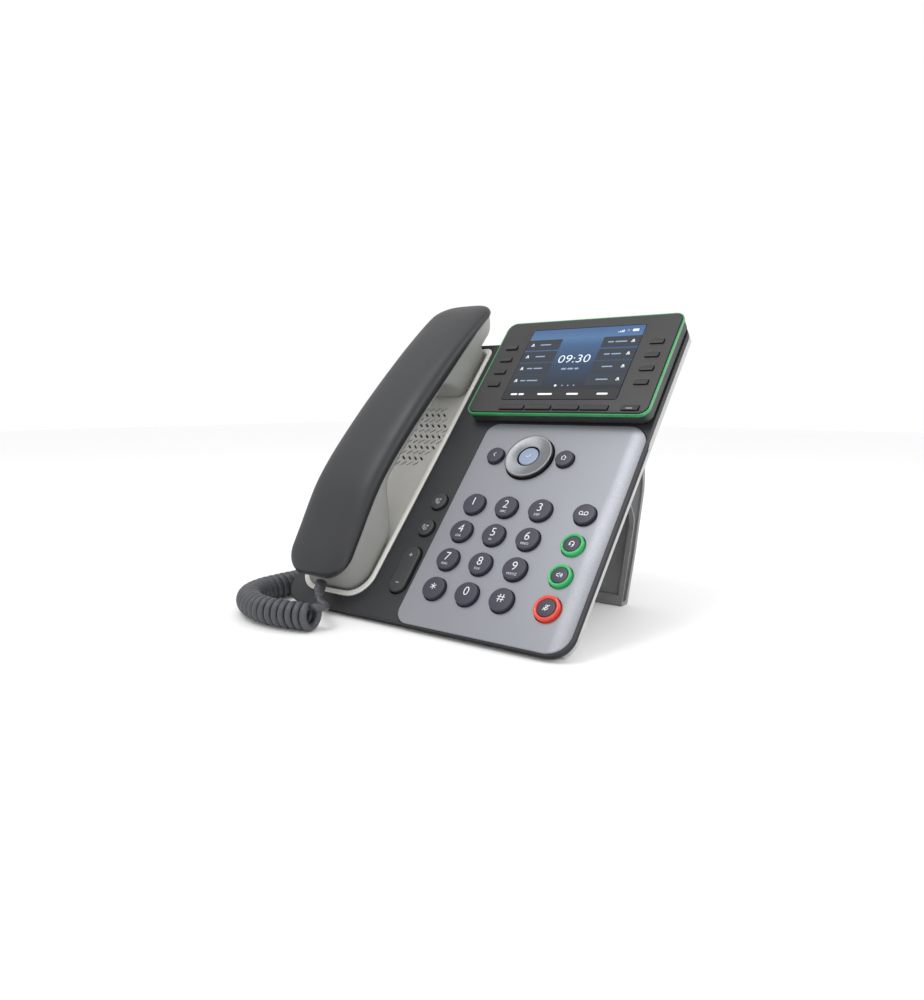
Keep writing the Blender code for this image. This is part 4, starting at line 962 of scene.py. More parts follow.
RING_HEIGHT, RING_CHAMFER, RING_SEAT = 0.0011, 0.0002, 0.00005
BORE_ROUND, RIM_BEVEL, DISH_STEPS, DISH_POWER = 0.0003, 0.0006, 8, 1.6
SELECT_SKIN, SELECT_SHOULDER, SELECT_SEAT, SELECT_CROWN = 0.00025, 0.0009, 0.00015, 0.00025
MARK_HALF, MARK_REACH, MARK_LINE, RING_TURNS = 0.0011, 0.0010, 0.0003, 128


def make_navigation():
    bore = SELECT_RADIUS + SELECT_GAP
    skirt_top = NAV_RISE - RING_HEIGHT
    seat, chamfer = skirt_top + RING_SEAT, skirt_top + RING_CHAMFER
    dish_start = bore + BORE_ROUND
    dish = [(dish_start, seat), (bore, chamfer), (bore, NAV_RISE - NAV_DISH - BORE_ROUND)]
    for step in range(DISH_STEPS + 1):
        share = step / DISH_STEPS
        radius = dish_start + (NAV_RADIUS - RIM_BEVEL - dish_start) * share
        dish.append((radius, NAV_RISE - NAV_DISH * (1 - share ** DISH_POWER)))
    dish += [(NAV_RADIUS - RING_CHAMFER, NAV_RISE - 0.00015), (NAV_RADIUS, NAV_RISE - 0.0005)]
    dish += [(NAV_RADIUS, chamfer), (NAV_RADIUS - RING_CHAMFER, seat), dish[0]]
    flange_top = FLANGE_TOP - ROCK_REACH
    skirt = [
        (bore, skirt_top), (NAV_RADIUS, skirt_top), (NAV_RADIUS, flange_top),
        (NAV_RADIUS + FLANGE_RIM, flange_top), (NAV_RADIUS + FLANGE_RIM, flange_top - FLANGE_THICK),
        (bore, flange_top - FLANGE_THICK), (bore, skirt_top),
    ]
    marks = []
    middle = (NAV_RADIUS + bore) / 2
    for turn in range(4):
        angle = math.radians(90 * turn)
        along = Vector((math.cos(angle), math.sin(angle)))
        across = Vector((-along.y, along.x))
        points = [
            middle * along + across * MARK_HALF, (middle + MARK_REACH) * along,
            middle * along - across * MARK_HALF,
        ]
        lift = NAV_RISE - NAV_DISH * 0.62
        marks.append(stroke([(p.x, NAV_V + p.y) for p in points], MARK_LINE, lift))
    layers = [
        (spun(dish, 0.0, NAV_V, RING_TURNS), RING), (spun(skirt, 0.0, NAV_V, RING_TURNS), SKIRT),
        (merged(marks), GREY_INK),
    ]
    piece("navigation_rocker", layers, "navigation_ring", ["navigation_ring"])
    foot = flange_top - FLANGE_THICK
    cap = cap_profile(SELECT_RADIUS - 0.0003, SELECT_RISE, 0.0005, foot + 0.0002, SELECT_CROWN)
    wall, shoulder = SELECT_RADIUS - SELECT_SKIN, SELECT_RISE - SELECT_SHOULDER
    rim = [
        (wall, shoulder), (SELECT_RADIUS, SELECT_RISE - 0.0010),
        (SELECT_RADIUS, foot), (0.0, foot), (0.0, foot + SELECT_SEAT),
        (wall, foot + SELECT_SEAT), (wall, shoulder),
    ]
    tick_points = [(-0.0012, NAV_V), (-0.0003, NAV_V - 0.0009), (0.0014, NAV_V + 0.0010)]
    tick = stroke(tick_points, LINE, SELECT_RISE - 0.00003)
    layers = [(spun(cap, 0.0, NAV_V), SELECT), (spun(rim, 0.0, NAV_V), SKIRT), (tick, WHITE_INK)]
    piece("select_cap", layers, "key_select", ["key_select"])


VOLUME_MARK, VOLUME_EDGE = 0.0088, 0.0009


def make_volume_rocker():
    top = STRIP_KEY_TOP
    flange_top = FLANGE_TOP - ROCK_REACH
    outline = centred(STRIP_KEY_U, VOLUME_V, VOLUME_WIDTH, VOLUME_LENGTH, VOLUME_WIDTH / 2)
    wide = centred(STRIP_KEY_U, VOLUME_V, VOLUME_WIDTH, VOLUME_LENGTH, VOLUME_WIDTH / 2, -FLANGE_RIM)
    layers = [
        (slab([outline], flange_top, top, VOLUME_EDGE), STRIP_KEY),
        (slab([wide], flange_top - FLANGE_THICK, flange_top - 0.0001, 0.0001), STRIP_KEY),
        (icon("plus", STRIP_KEY_U, VOLUME_V + VOLUME_MARK, top), GREY_INK),
        (icon("minus", STRIP_KEY_U, VOLUME_V - VOLUME_MARK, top), GREY_INK),
    ]
    piece("volume_cap", layers, "volume_rocker", ["volume_rocker"])


# Width and height of each kind of display key; line keys flank the screen and soft keys lie under it.
LINE_KEY, SOFT_KEY, PILL_KEY = (0.0080, 0.0036), (0.0166, 0.0034), (0.0098, 0.0036)
LINE_KEY_REACH, LINE_KEY_HEAD, LINE_KEY_PITCH = 0.0475, 0.1305, 0.0101
SOFT_KEY_U, SOFT_KEY_V, SOFT_KEY_PITCH, PILL_KEY_U = -0.0214, 0.0820, 0.0177, 0.0526


def display_keys():
    """Name, u, v, width and height of every display key."""
    keys = []
    for side, sign in (("left", -1), ("right", 1)):
        for i in range(4):
            u, v = SCREEN_U + sign * LINE_KEY_REACH, LINE_KEY_HEAD - i * LINE_KEY_PITCH
            keys.append((f"line_key_{side}_{i + 1}", u, v, *LINE_KEY))
    for i in range(4):
        keys.append((f"soft_key_{i + 1}", SOFT_KEY_U + i * SOFT_KEY_PITCH, SOFT_KEY_V, *SOFT_KEY))
    keys.append(("pill_key", PILL_KEY_U, SOFT_KEY_V, *PILL_KEY))
    return keys


def make_display_keys():
    """Bars whose face slopes down to the user, so that each shows a dark front edge."""
    flange_top = BEZEL_BACK - GAP
    top = HEAD_FACE + DISPLAY_KEY_RISE
    for name, u, v, width, height in display_keys():
        near, far = v - height / 2, v + height / 2
        side = [
            (near, flange_top - 0.0001), (far, flange_top - 0.0001),
            (far, HEAD_FACE + 0.0002), (far - 0.0003, HEAD_FACE + 0.0004),
            (near + 0.0006, top), (near + 0.0002, top - 0.0001), (near, top - 0.0004),
        ]
        bar = slab([side], u - width / 2, u + width / 2, 0.0, "vn")
        round_ends = slab([centred(u, v, width, height, height / 4)], flange_top - 0.001, top + 0.001)
        bar = shaped(bar, keep=[round_ends], edge=0.00015)
        wide = centred(u, v, width, height, height / 4, -0.0003)
        rim = slab([wide], flange_top - FLANGE_THICK, flange_top - 0.0001)
        layers = [(bar, DISPLAY_KEY), (rim, DISPLAY_KEY)]
        if name == "pill_key":
            mark = stroke([(u - 0.0018, v - 0.0008), (u + 0.0018, v - 0.0008)], 0.0005, top)
            layers.append((mark, GREY_INK))
        piece(f"{name}_cap", layers, name, [name])


# ---- body --------------------------------------------------------------------------------------

NAV_GAP, PLATE_EDGE, DECK_EDGE, BOSS_INSET = 0.0005, 0.00035, 0.0004, 0.0050


def round_holes(gap):
    places = [((i % 3 - 1) * COLUMN_PITCH, (1 - i // 3) * ROW_PITCH) for i in range(12)]
    holes = [circle(u, v, DIAL_RADIUS + gap) for u, v in places]
    for i, radius in enumerate(FUNCTION_KEYS.values()):
        holes.append(circle(FUNCTION_COLUMN, (1 - i) * ROW_PITCH, radius + gap))
    for side in (-1, 1):
        holes.append(circle(side * SIDE_KEY_U, NAV_V, SIDE_KEY_RADIUS + gap))
    holes.append(circle(0.0, NAV_V, NAV_RADIUS + NAV_GAP, 96))
    return holes


def roll_down(mesh, drop=ROLL_DROP):
    """Bend the plate down towards its right edge, on lines cut for the bend."""
    start = PLATE_RIGHT - ROLL_WIDTH
    work = bmesh.new()
    work.from_mesh(mesh)
    for i in range(13):
        geometry = work.verts[:] + work.edges[:] + work.faces[:]
        bmesh.ops.bisect_plane(
            work, geom=geometry, plane_co=(start + ROLL_WIDTH * i / 13, 0, 0), plane_no=(1, 0, 0)
        )
    for vert in work.verts:
        share = max(vert.co.x - start, 0.0) / ROLL_WIDTH
        vert.co.z -= drop * share ** 2
    work.to_mesh(mesh)
    work.free()
    return mesh


def make_plate():
    plate = roll_down(slab([plate_outline(), *round_holes(GAP)], -PLATE_THICK, 0.0, PLATE_EDGE))
    piece("keypad_faceplate", [(plate, PLATE)], "base", ["keypad_plate"])


def make_front_housing():
    volume = centred(STRIP_KEY_U, VOLUME_V, VOLUME_WIDTH, VOLUME_LENGTH, VOLUME_WIDTH / 2, -0.0005)
    strip_holes = [circle(STRIP_KEY_U, v, STRIP_KEY_RADIUS + GAP) for v in (ROW_PITCH, 0.0)]
    seat_top = -PLATE_THICK - GAP
    deck = slab(
        [body_outline(), cradle_outline(-GAP), plate_outline(-GAP), volume, *strip_holes],
        DECK_BOTTOM, DECK_TOP, DECK_EDGE,
    )
    seat = roll_down(slab([plate_outline(-GAP + 0.00005), *round_holes(GAP)], DECK_BOTTOM, seat_top, 0.0001))
    chin = slab([body_outline(), shell_outline(-GAP)], DECK_BOTTOM - CHIN_DEPTH, DECK_BOTTOM)
    work = bmesh.new()
    work.from_mesh(chin)
    thin = [face for face in work.faces if face.calc_center_median().y > BODY_FOOT + BODY_CORNER]
    bmesh.ops.delete(work, geom=thin, context="FACES")
    bmesh.ops.holes_fill(work, edges=work.edges)
    work.to_mesh(chin)
    work.free()
    boss = slab([head_outline(BOSS_INSET)], DECK_TOP, 0.0, 0.0001)
    layers = [(deck, HOUSING), (seat, HOUSING), (chin, HOUSING), (boss, HOUSING)]
    piece("deck_housing", layers, "base", ["front_housing"])


def shell_mesh(inset):
    top = SHELL_TOP + (0.01 if inset else 0.0)
    back = SHELL_BACK + inset
    left, right = BODY_LEFT + inset, BODY_RIGHT - inset
    lip = SHELL_TOP - SHELL_LIP + inset / 2
    across = filleted([
        (left, top, 0), (left, back, SHELL_LEFT_CORNER - inset),
        (right - SHELL_RIGHT_SLOPE, back, SHELL_RIGHT_SLOPE / 2),
        (right, lip, SHELL_LIP / 2), (right, top, 0),
    ])
    foot, head = BODY_FOOT + SHELL_CHIN_INSET + inset, BODY_HEAD - inset
    along = filleted([
        (foot, top, 0), (foot, back, 0), (head - SHELL_HEAD_SLOPE, back, SHELL_HEAD_SLOPE / 2),
        (head, lip, SHELL_LIP / 2), (head, top, 0),
    ])
    land = -TABLE_DROP + FOOT_LAND + inset
    under = box_mesh((-0.2, -0.1, land - 0.1), (0.2, 0.2, land))
    under.transform(PHONE.inverted() @ LEVEL)
    return shaped(
        slab([shell_outline(inset)], -0.03, top),
        keep=[slab([across], -0.1, 0.2, 0.0, "un"), slab([along], -0.2, 0.1, 0.0, "vn")], cutters=[under],
    )


def level_box(low, high):
    """A box square to the table, given in the phone's own drawing."""
    mesh = box_mesh(low, high)
    mesh.transform(PHONE.inverted() @ LEVEL)
    return mesh


JACK_LOW, JACK_HIGH = (-0.0480, 0.0580, 0.0290), (-0.0120, 0.0730, 0.0450)
PLUG_V, PLUG_N, PLUG_HALF_WIDTH, PLUG_HALF_HEIGHT = 0.0450, -0.0115, 0.00385, 0.0033
VENT_START, VENT_PITCH, VENT_V, VENT_WIDTH, VENT_LENGTH = -0.060, 0.0075, 0.130, 0.0022, 0.0160


def plug_box(left, right, room=0.0):
    half_width, half_height = PLUG_HALF_WIDTH + room, PLUG_HALF_HEIGHT + room
    return box_mesh(
        (left, PLUG_V - half_width, PLUG_N - half_height), (right, PLUG_V + half_width, PLUG_N + half_height)
    )


def make_rear_shell():
    plug = plug_box(-0.13, -0.11, GAP)
    margin = Vector((GAP, GAP, GAP))
    jack = level_box(Vector(JACK_LOW) - margin, Vector(JACK_HIGH) + margin)
    vents = []
    for i in range(9):
        slit = centred(VENT_START + i * VENT_PITCH, VENT_V, VENT_WIDTH, VENT_LENGTH, VENT_WIDTH / 2)
        vents.append(slab([slit], SHELL_BACK - 0.001, SHELL_BACK + 0.0012))
    shell = shaped(shell_mesh(0.0), cutters=[shell_mesh(SHELL_WALL), plug, jack, *vents], edge=0.0004)
    piece("rear_housing", [(shell, SHELL)], "base", ["rear_shell"])


# ---- display head ------------------------------------------------------------------------------

GLASS_FACE, GLASS_BACK, BEZEL_EDGE, GUIDE_EDGE = 0.0001, 0.0012, 0.0003, 0.00025
TRAY_INSET, TRAY_WALL = 0.0004, 0.0015


def screen_place(across, down):
    """A place on the picture from shares of its width and height, from the top left."""
    return SCREEN_U + (across - 0.5) * SCREEN_WIDTH, SCREEN_V + (0.5 - down) * SCREEN_HEIGHT


def screen_box(left, right, top, bottom, n, radius=0.0004):
    u0, v1 = screen_place(left, top)
    u1, v0 = screen_place(right, bottom)
    return slab([rectangle(u0, u1, v0, v1, radius)], n, n + INK)


def word_bars(across, down, widths, n, height=0.0009):
    """A line of text drawn as short rounded bars."""
    bars = []
    total = sum(widths) + 0.012 * (len(widths) - 1)
    left = across - total / 2
    for width in widths:
        u0, v = screen_place(left, down)
        u1 = u0 + width * SCREEN_WIDTH
        word = rectangle(u0, u1, v - height / 2, v + height / 2, height * 0.45)
        bars.append(slab([word], n, n + INK))
        left += width + 0.012
    return bars


def make_screen_picture():
    face = HEAD_FACE - GLASS_FACE
    tiles, bars, soft, white = [], [], [], []
    bars.append(screen_box(0.0, 1.0, 0.865, 1.0, face, 0.0003))
    name_widths = ((0.10,), (0.09,), (0.05, 0.08), (0.05, 0.10))
    for row in range(4):
        top = 0.150 + row * 0.172
        tiles.append(screen_box(0.0, 0.315, top, top + 0.150, face))
        tiles.append(screen_box(0.685, 1.0, top, top + 0.150, face))
        middle = top + 0.075
        soft += word_bars(0.175, middle, name_widths[row], face + INK)
        soft += word_bars(0.815, middle, name_widths[3 - row], face + INK)
        for across in (0.055, 0.945):
            white.append(icon("person", *screen_place(across, middle), face + INK, 0.75, 0.0004))
    white.append(lettering("09:30", *screen_place(0.5, 0.445), 0.0060, face, 0.0205))
    soft += word_bars(0.5, 0.585, (0.045, 0.05, 0.035), face, 0.0013)
    for i, across in enumerate((0.44, 0.50, 0.55, 0.60)):
        page = circle(*screen_place(across, 0.815), 0.0008 if i == 0 else 0.0005, 20)
        dot = slab([page], face, face + INK)
        (white if i == 0 else soft).append(dot)
    for across, widths in ((0.13, (0.06, 0.05)), (0.38, (0.13,)), (0.62, (0.10,)), (0.87, (0.09,))):
        white += word_bars(across, 0.930, widths, face + INK, 0.0013)
    for i in range(4):
        u, v = screen_place(0.785 + i * 0.014, 0.075)
        height = 0.0006 + 0.0004 * i
        signal = rectangle(u, u + 0.0006, v - 0.001, v - 0.001 + height, 0.0)
        white.append(slab([signal], face, face + INK))
    battery = centred(*screen_place(0.93, 0.07), 0.0038, 0.0018, 0.0005)
    white.append(slab([battery], face, face + INK))
    soft.append(slab([circle(*screen_place(0.87, 0.07), 0.0007, 20)], face, face + INK))
    return [
        (merged(tiles), SCREEN_TILE), (merged(bars), SCREEN_BAR),
        (merged(soft), SCREEN_SOFT), (merged(white), SCREEN_LIGHT),
    ]


def make_head():
    window = centred(SCREEN_U, SCREEN_V, SCREEN_WIDTH, SCREEN_HEIGHT, 0.001, -GAP)
    holes = [
        centred(u, v, width, height, height / 4, -0.00015) for _, u, v, width, height in display_keys()
    ]
    bezel = slab([head_outline(BEZEL_INSET), window, *holes], BEZEL_BACK, HEAD_FACE, BEZEL_EDGE)
    piece("head_bezel", [(bezel, BEZEL)], "base", ["display_bezel"])
    guide = slab(
        [head_outline(), head_outline(BEZEL_INSET - GAP)], BEZEL_BACK, HEAD_FACE - RING_SETBACK, GUIDE_EDGE
    )
    piece("head_light_guide", [(guide, EDGE_GREEN)], "base", ["display_light_ring"])
    top = BEZEL_BACK - GAP
    # The tray's dark grey is partly painted shade under the bezel.
    tray = [
        (slab([head_outline(TRAY_INSET), head_outline(TRAY_WALL)], HEAD_FLOOR, top, 0.0003), HEAD_TRAY_SHADE),
        (slab([head_outline(TRAY_WALL)], HEAD_FLOOR, HEAD_FLOOR + TRAY_WALL, 0.0001), HEAD_TRAY_SHADE),
    ]
    piece("head_tray", tray, "base", ["display_housing"])
    pane = centred(SCREEN_U, SCREEN_V, SCREEN_WIDTH, SCREEN_HEIGHT, 0.001)
    glass = slab([pane], HEAD_FACE - GLASS_BACK, HEAD_FACE - GLASS_FACE)
    piece("screen", [(glass, SCREEN), *make_screen_picture()], "base", ["display_window"])


# ---- cradle ------------------------------------------------------------------------------------

def smoothstep(start, end, x):
    share = min(max((x - start) / (end - start), 0.0), 1.0)
    return share * share * (3 - 2 * share)


# Where the neck's shallow dish rises out of the two pockets along V, and how each edge runs inwards.
NECK_RISE, NECK_FALL = (0.012, 0.034), (0.088, 0.102)
POCKET_WALL = (CRADLE_RIM - 0.0004, CRADLE_RIM + 0.0008)
DISH_DEPTH, DISH_RUN = 0.0030, (0.0012, 0.0230)
RIM_ROUND, RIM_RUN = 0.0005, 0.0008
RIM_REACH = 0.0062  # inside this, the true distance from the straight sides sets the height
# The grille's grid, and the slant and reach of the six-sided field that is kept of it.
FIELD_COLUMNS, FIELD_ROWS, FIELD_SLANT, FIELD_REACH = 9, 11, 0.60, 4.6
SLOT_LEAN, SLOT_BAR_DEPTH = math.radians(-40), 0.02


def cradle_height(v, inward):
    """Height of the cradle's top: steep pockets at both ends and a shallow dish between them."""
    neck = smoothstep(*NECK_RISE, v) * (1 - smoothstep(*NECK_FALL, v))
    pocket = (CRADLE_TOP - CRADLE_FLOOR) * smoothstep(*POCKET_WALL, inward)
    dish = DISH_DEPTH * smoothstep(*DISH_RUN, inward)
    round_edge = RIM_ROUND * max(0.0, 1 - inward / RIM_RUN) ** 2
    return CRADLE_TOP - round_edge - (pocket * (1 - neck) + dish * neck)


def slot_field():
    """Geometry Nodes tree: rows of slots in a six-sided field, as solid bars to cut with."""
    tree = bpy.data.node_groups.new("slot_field", "GeometryNodeTree")
    lengths = ("Slot Length", "Slot Width", "Pitch Across", "Pitch Along", "Depth", "Lean")
    for name, kind in (
        ("Geometry", "Geometry"), *((length, "Float") for length in lengths), ("Finish", "Material"),
    ):
        tree.interface.new_socket(name, in_out="INPUT", socket_type=f"NodeSocket{kind}")
    tree.interface.new_socket("Geometry", in_out="OUTPUT", socket_type="NodeSocketGeometry")
    given = add_node(tree, "NodeGroupInput").outputs

    def maths(operation, *values):
        return add_node(tree, "ShaderNodeMath", dict(enumerate(values)), operation=operation).outputs[0]

    def axes():
        place = add_node(tree, "GeometryNodeInputPosition")
        return add_node(tree, "ShaderNodeSeparateXYZ", {0: place.outputs[0]}).outputs

    grid = add_node(tree, "GeometryNodeMeshGrid", {
        "Size X": maths("MULTIPLY", given["Pitch Across"], FIELD_COLUMNS - 1),
        "Size Y": maths("MULTIPLY", given["Pitch Along"], FIELD_ROWS - 1),
        "Vertices X": FIELD_COLUMNS, "Vertices Y": FIELD_ROWS,
    })
    row = maths("ROUND", maths("DIVIDE", axes()["Y"], given["Pitch Along"]))
    half = maths("MULTIPLY", given["Pitch Across"], 0.5)
    shift = add_node(tree, "ShaderNodeCombineXYZ", {
        "X": maths("MULTIPLY", maths("FLOORED_MODULO", row, 2.0), half),
    })
    moved = add_node(tree, "GeometryNodeSetPosition", {
        "Geometry": grid.outputs["Mesh"], "Offset": shift.outputs[0],
    })
    now = axes()
    side, along = maths("ABSOLUTE", now["X"]), maths("ABSOLUTE", now["Y"])
    outside = add_node(tree, "FunctionNodeCompare", {
        0: maths("ADD", side, maths("MULTIPLY", along, FIELD_SLANT)),
        1: maths("MULTIPLY", given["Pitch Across"], FIELD_REACH),
    }, operation="GREATER_THAN")
    kept = add_node(tree, "GeometryNodeDeleteGeometry", {
        "Geometry": moved.outputs[0], "Selection": outside.outputs[0],
    }, domain="POINT")
    size = add_node(tree, "ShaderNodeCombineXYZ", {
        "X": given["Slot Length"], "Y": given["Slot Width"], "Z": given["Depth"],
    })
    bar = add_node(tree, "GeometryNodeMeshCube", {"Size": size.outputs[0]})
    column = maths("ROUND", maths("DIVIDE", now["X"], half))
    way = maths("MULTIPLY_ADD", maths("FLOORED_MODULO", column, 2.0), -2.0, 1.0)
    lean = add_node(tree, "ShaderNodeCombineXYZ", {"Z": maths("MULTIPLY", given["Lean"], way)})
    turn = add_node(tree, "FunctionNodeEulerToRotation", {0: lean.outputs[0]})
    bars = add_node(tree, "GeometryNodeInstanceOnPoints", {
        "Points": kept.outputs[0], "Instance": bar.outputs["Mesh"], "Rotation": turn.outputs[0],
    })
    real = add_node(tree, "GeometryNodeRealizeInstances", {"Geometry": bars.outputs[0]})
    coated = add_node(tree, "GeometryNodeSetMaterial", {
        "Geometry": real.outputs[0], "Material": given["Finish"],
    })
    add_node(tree, "NodeGroupOutput", {"Geometry": coated.outputs[0]})
    return tree


def node_mesh(tree, values):
    """Run a Geometry Nodes tree with its named inputs and return the mesh that it makes."""
    holder = shown(tree.name, bpy.data.meshes.new(tree.name))
    modifier = holder.modifiers.new(tree.name, "NODES")
    modifier.node_group = tree
    for item in tree.interface.items_tree:
        if item.in_out == "INPUT" and item.name in values:
            modifier[item.identifier] = values[item.name]
    return evaluated_mesh(holder)


SLOT_SHADE = 0.0009  # a black fill of painted shade lies this deep in the slots


def make_cradle():
    outline = cradle_outline()
    bottom = CRADLE_FLOOR - CRADLE_THICK
    half = CRADLE_WIDTH / 2
    insets = [0.0, 0.0002, 0.0005, 0.0010, 0.0018, 0.0024, 0.0027, 0.0030, 0.0034, 0.0038, 0.0046, 0.0060]
    insets += [0.0080 + 0.0023 * i for i in range(8)] + [half - 0.0005]
    spine = [(CRADLE_U, min(max(v, CRADLE_FOOT + half), CRADLE_HEAD - half)) for _, v in outline]
    rings = [[(u, v, bottom) for u, v in outline]]
    for inset in insets:
        share = inset / half
        ring = []
        for (u, v), (mid_u, mid_v) in zip(outline, spine):
            x, y = u + (mid_u - u) * share, v + (mid_v - v) * share
            to_side = min(abs(x - (CRADLE_U - half)), abs(x - (CRADLE_U + half)))
            away = min(to_side, y - CRADLE_FOOT, CRADLE_HEAD - y)
            ring.append((x, y, cradle_height(y, min(inset, away) if inset < RIM_REACH else inset)))
        rings.append(ring)
    body = lofted(rings)
    slots = node_mesh(slot_field(), {
        "Slot Length": SLOT_LENGTH, "Slot Width": SLOT_WIDTH, "Pitch Across": SLOT_PITCH_U,
        "Pitch Along": SLOT_PITCH_V, "Depth": SLOT_BAR_DEPTH, "Lean": SLOT_LEAN, "Finish": CRADLE,
    })
    slots.transform(Matrix.Translation((CRADLE_U, GRILLE_V, CRADLE_FLOOR)))
    hook_hole = centred(CRADLE_U, HOOK_V, HOOK_WIDTH, HOOK_LENGTH, 0.001, -GAP)
    hook = slab([hook_hole], bottom - 0.01, 0.01)
    # Painted shade: a black fill sunk in each slot, so that the slots read dark.
    sunk = lofted([[(u, v, n - SLOT_SHADE) for u, v, n in ring] for ring in rings])
    slot_shade_fill = shaped(slots.copy(), keep=[sunk])
    cradle = shaped(body, cutters=[slots, hook])
    piece("cradle_dish", [(cradle, CRADLE), (slot_shade_fill, SKIRT)], "base", ["handset_cradle"],
          weighted=False)
    button = centred(CRADLE_U, HOOK_V, HOOK_WIDTH, HOOK_LENGTH, 0.001)
    plunger = slab([button], bottom - HOOK_POP, CRADLE_FLOOR, 0.0006)
    piece("hook_switch", [(plunger, SKIRT)], "hook", ["hook_plunger"])


# ---- handset -----------------------------------------------------------------------------------

# Heights over the plate along V: the seam between the two shells, and the crown of the back.
SEAM_LINE = [
    (-0.048, 0.0150), (-0.026, 0.0190), (0.010, 0.0250), (0.045, 0.0245),
    (0.095, 0.0200), (0.140, 0.0155), (0.168, 0.0105),
]
CROWN_LINE = [
    (-0.048, 0.0200), (-0.024, 0.0262), (0.008, 0.0332), (0.060, 0.0326),
    (0.110, 0.0274), (0.145, 0.0210), (0.168, 0.0150),
]
HANDSET_REST = CRADLE_FLOOR + GAP
NECK_HEIGHT, BLOCK_RAMP = 0.0145, 0.0140
MOUTH_BLOCK_END, EAR_BLOCK_START = 0.0060, 0.1040
MOUTH_RAMP_START = -0.0100  # a longer ramp than the ear block has
EAR_BLOCK_END = CRADLE_HEAD - CRADLE_RIM - 0.0008
RIM_CLEARANCE, EAR_END_SLOPE, EAR_END_STEP, MOUTH_END_SLOPE = 0.0012, 0.0120, 0.0010, 0.0032
# How square each section is: 2 is round and more is squarer.
BACK_POWER, BELLY_POWER, BLOCK_POWER, INNER_SETBACK = 3.4, 2.0, 6.0, 0.0006


def slope_at(table, i):
    (x0, y0), (x1, y1) = table[max(i - 1, 0)], table[min(i + 1, len(table) - 1)]
    return (y1 - y0) / (x1 - x0)


def height_on(table, x):
    """Read a smooth line through the (x, y) points of the table."""
    x = min(max(x, table[0][0]), table[-1][0])
    i = next(i for i in range(len(table) - 1) if x <= table[i + 1][0])
    (x0, y0), (x1, y1) = table[i], table[i + 1]
    span = x1 - x0
    t = (x - x0) / span
    bend_in, bend_out = slope_at(table, i) * span, slope_at(table, i + 1) * span
    return (
        y0 * (1 + 2 * t) * (1 - t) ** 2 + bend_in * t * (1 - t) ** 2
        + y1 * t ** 2 * (3 - 2 * t) + bend_out * t ** 2 * (t - 1)
    )


def end_share(v, foot, top):
    """How much of its full section the handset has near its two round ends."""
    near = min(v - foot, top - v)
    if near >= HANDSET_CORNER:
        return 1.0
    away = 1 - max(near, 0.0) / HANDSET_CORNER
    return math.sqrt(max(1 - away * away, 0.0))


def half_width(v, foot, top):
    return HANDSET_HALF - HANDSET_CORNER * (1 - end_share(v, foot, top))


def stations(foot, top):
    offsets = [HANDSET_CORNER * (1 - math.cos(math.radians(a))) for a in range(0, 88, 6)]
    inner_foot, inner_top = foot + HANDSET_CORNER, top - HANDSET_CORNER
    middle = [inner_foot + (inner_top - inner_foot) * i / 90 for i in range(91)]
    ends = [foot + d for d in offsets] + [top - d for d in offsets]
    return sorted(set(ends + middle))


def half_ring(v, half, seam, reach, power, direction, count=48):
    """A D-shaped section: a flat seam and a rounded back or belly."""
    ring = []
    for i in range(count + 1):
        angle = math.pi * i / count
        across = math.copysign(abs(math.cos(angle)) ** (2 / power), math.cos(angle))
        out = abs(math.sin(angle)) ** (2 / power)
        ring.append((CRADLE_U + half * across, v, seam + direction * reach * out))
    return ring


def back_rings():
    rings = []
    for v in stations(HANDSET_FOOT, HANDSET_TOP):
        seam, crown = height_on(SEAM_LINE, v), height_on(CROWN_LINE, v)
        reach = (crown - seam) * (0.35 + 0.65 * end_share(v, HANDSET_FOOT, HANDSET_TOP))
        half = half_width(v, HANDSET_FOOT, HANDSET_TOP)
        rings.append(half_ring(v, half, seam, max(reach, 0.001), BACK_POWER, 1))
    return rings


def underside(v):
    mouth = smoothstep(MOUTH_RAMP_START, MOUTH_BLOCK_END + BLOCK_RAMP, v)
    ear = 1 - smoothstep(EAR_BLOCK_START - BLOCK_RAMP, EAR_BLOCK_START, v)
    over_rim = smoothstep(EAR_BLOCK_END - 0.0020, EAR_BLOCK_END, v) * (RIM_CLEARANCE - HANDSET_REST)
    return HANDSET_REST + (NECK_HEIGHT - HANDSET_REST) * min(mouth, ear) + over_rim


def inner_rings():
    foot, top = HANDSET_FOOT + MOUTH_END_SLOPE, HANDSET_TOP - EAR_END_STEP
    rings = []
    for v in stations(foot, top):
        seam = height_on(SEAM_LINE, v) - GAP
        low = underside(v)
        blockiness = (NECK_HEIGHT - low) / (NECK_HEIGHT - HANDSET_REST)
        half = half_width(v, foot, top) - INNER_SETBACK
        power = BELLY_POWER + (BLOCK_POWER - BELLY_POWER) * blockiness
        ring = half_ring(v, half, seam, max(seam - low, 0.002), power, -1)
        slope = EAR_END_SLOPE * max(v - EAR_BLOCK_END, 0.0) / (top - EAR_BLOCK_END)
        full = seam - RIM_CLEARANCE
        rings.append([(u, y - slope * min((seam - n) / full, 1.0), n) for u, y, n in ring])
    return rings


HOLE_RADIUS, HOLE_DEEP, MOUTH_HOLE_V, EAR_HOLES_V = 0.0006, -0.02, -0.022, 0.1190


def sound_hole(u, v, top):
    profile = [(0.0, top), (HOLE_RADIUS, top), (HOLE_RADIUS, HOLE_DEEP), (0.0, HOLE_DEEP)]
    return spun(profile, u, v, 12)


def make_handset():
    piece("handset_back", [(lofted(back_rings()), HANDSET_BACK)], "handset",
          ["handset_back_shell"], sharp=50)
    sound_holes = [sound_hole(CRADLE_U, MOUTH_HOLE_V, 0.004)]
    for ring, count in ((0.0030, 6), (0.0060, 12)):
        for i in range(count):
            angle = math.tau * i / count
            u, v = CRADLE_U + ring * math.cos(angle), EAR_HOLES_V + ring * math.sin(angle)
            sound_holes.append(sound_hole(u, v, -0.0035))
    front = shaped(lofted(inner_rings()), cutters=[merged(sound_holes)])
    piece("handset_front", [(front, PALE)], "handset", ["handset_inner_shell"],
          sharp=50, weighted=False)


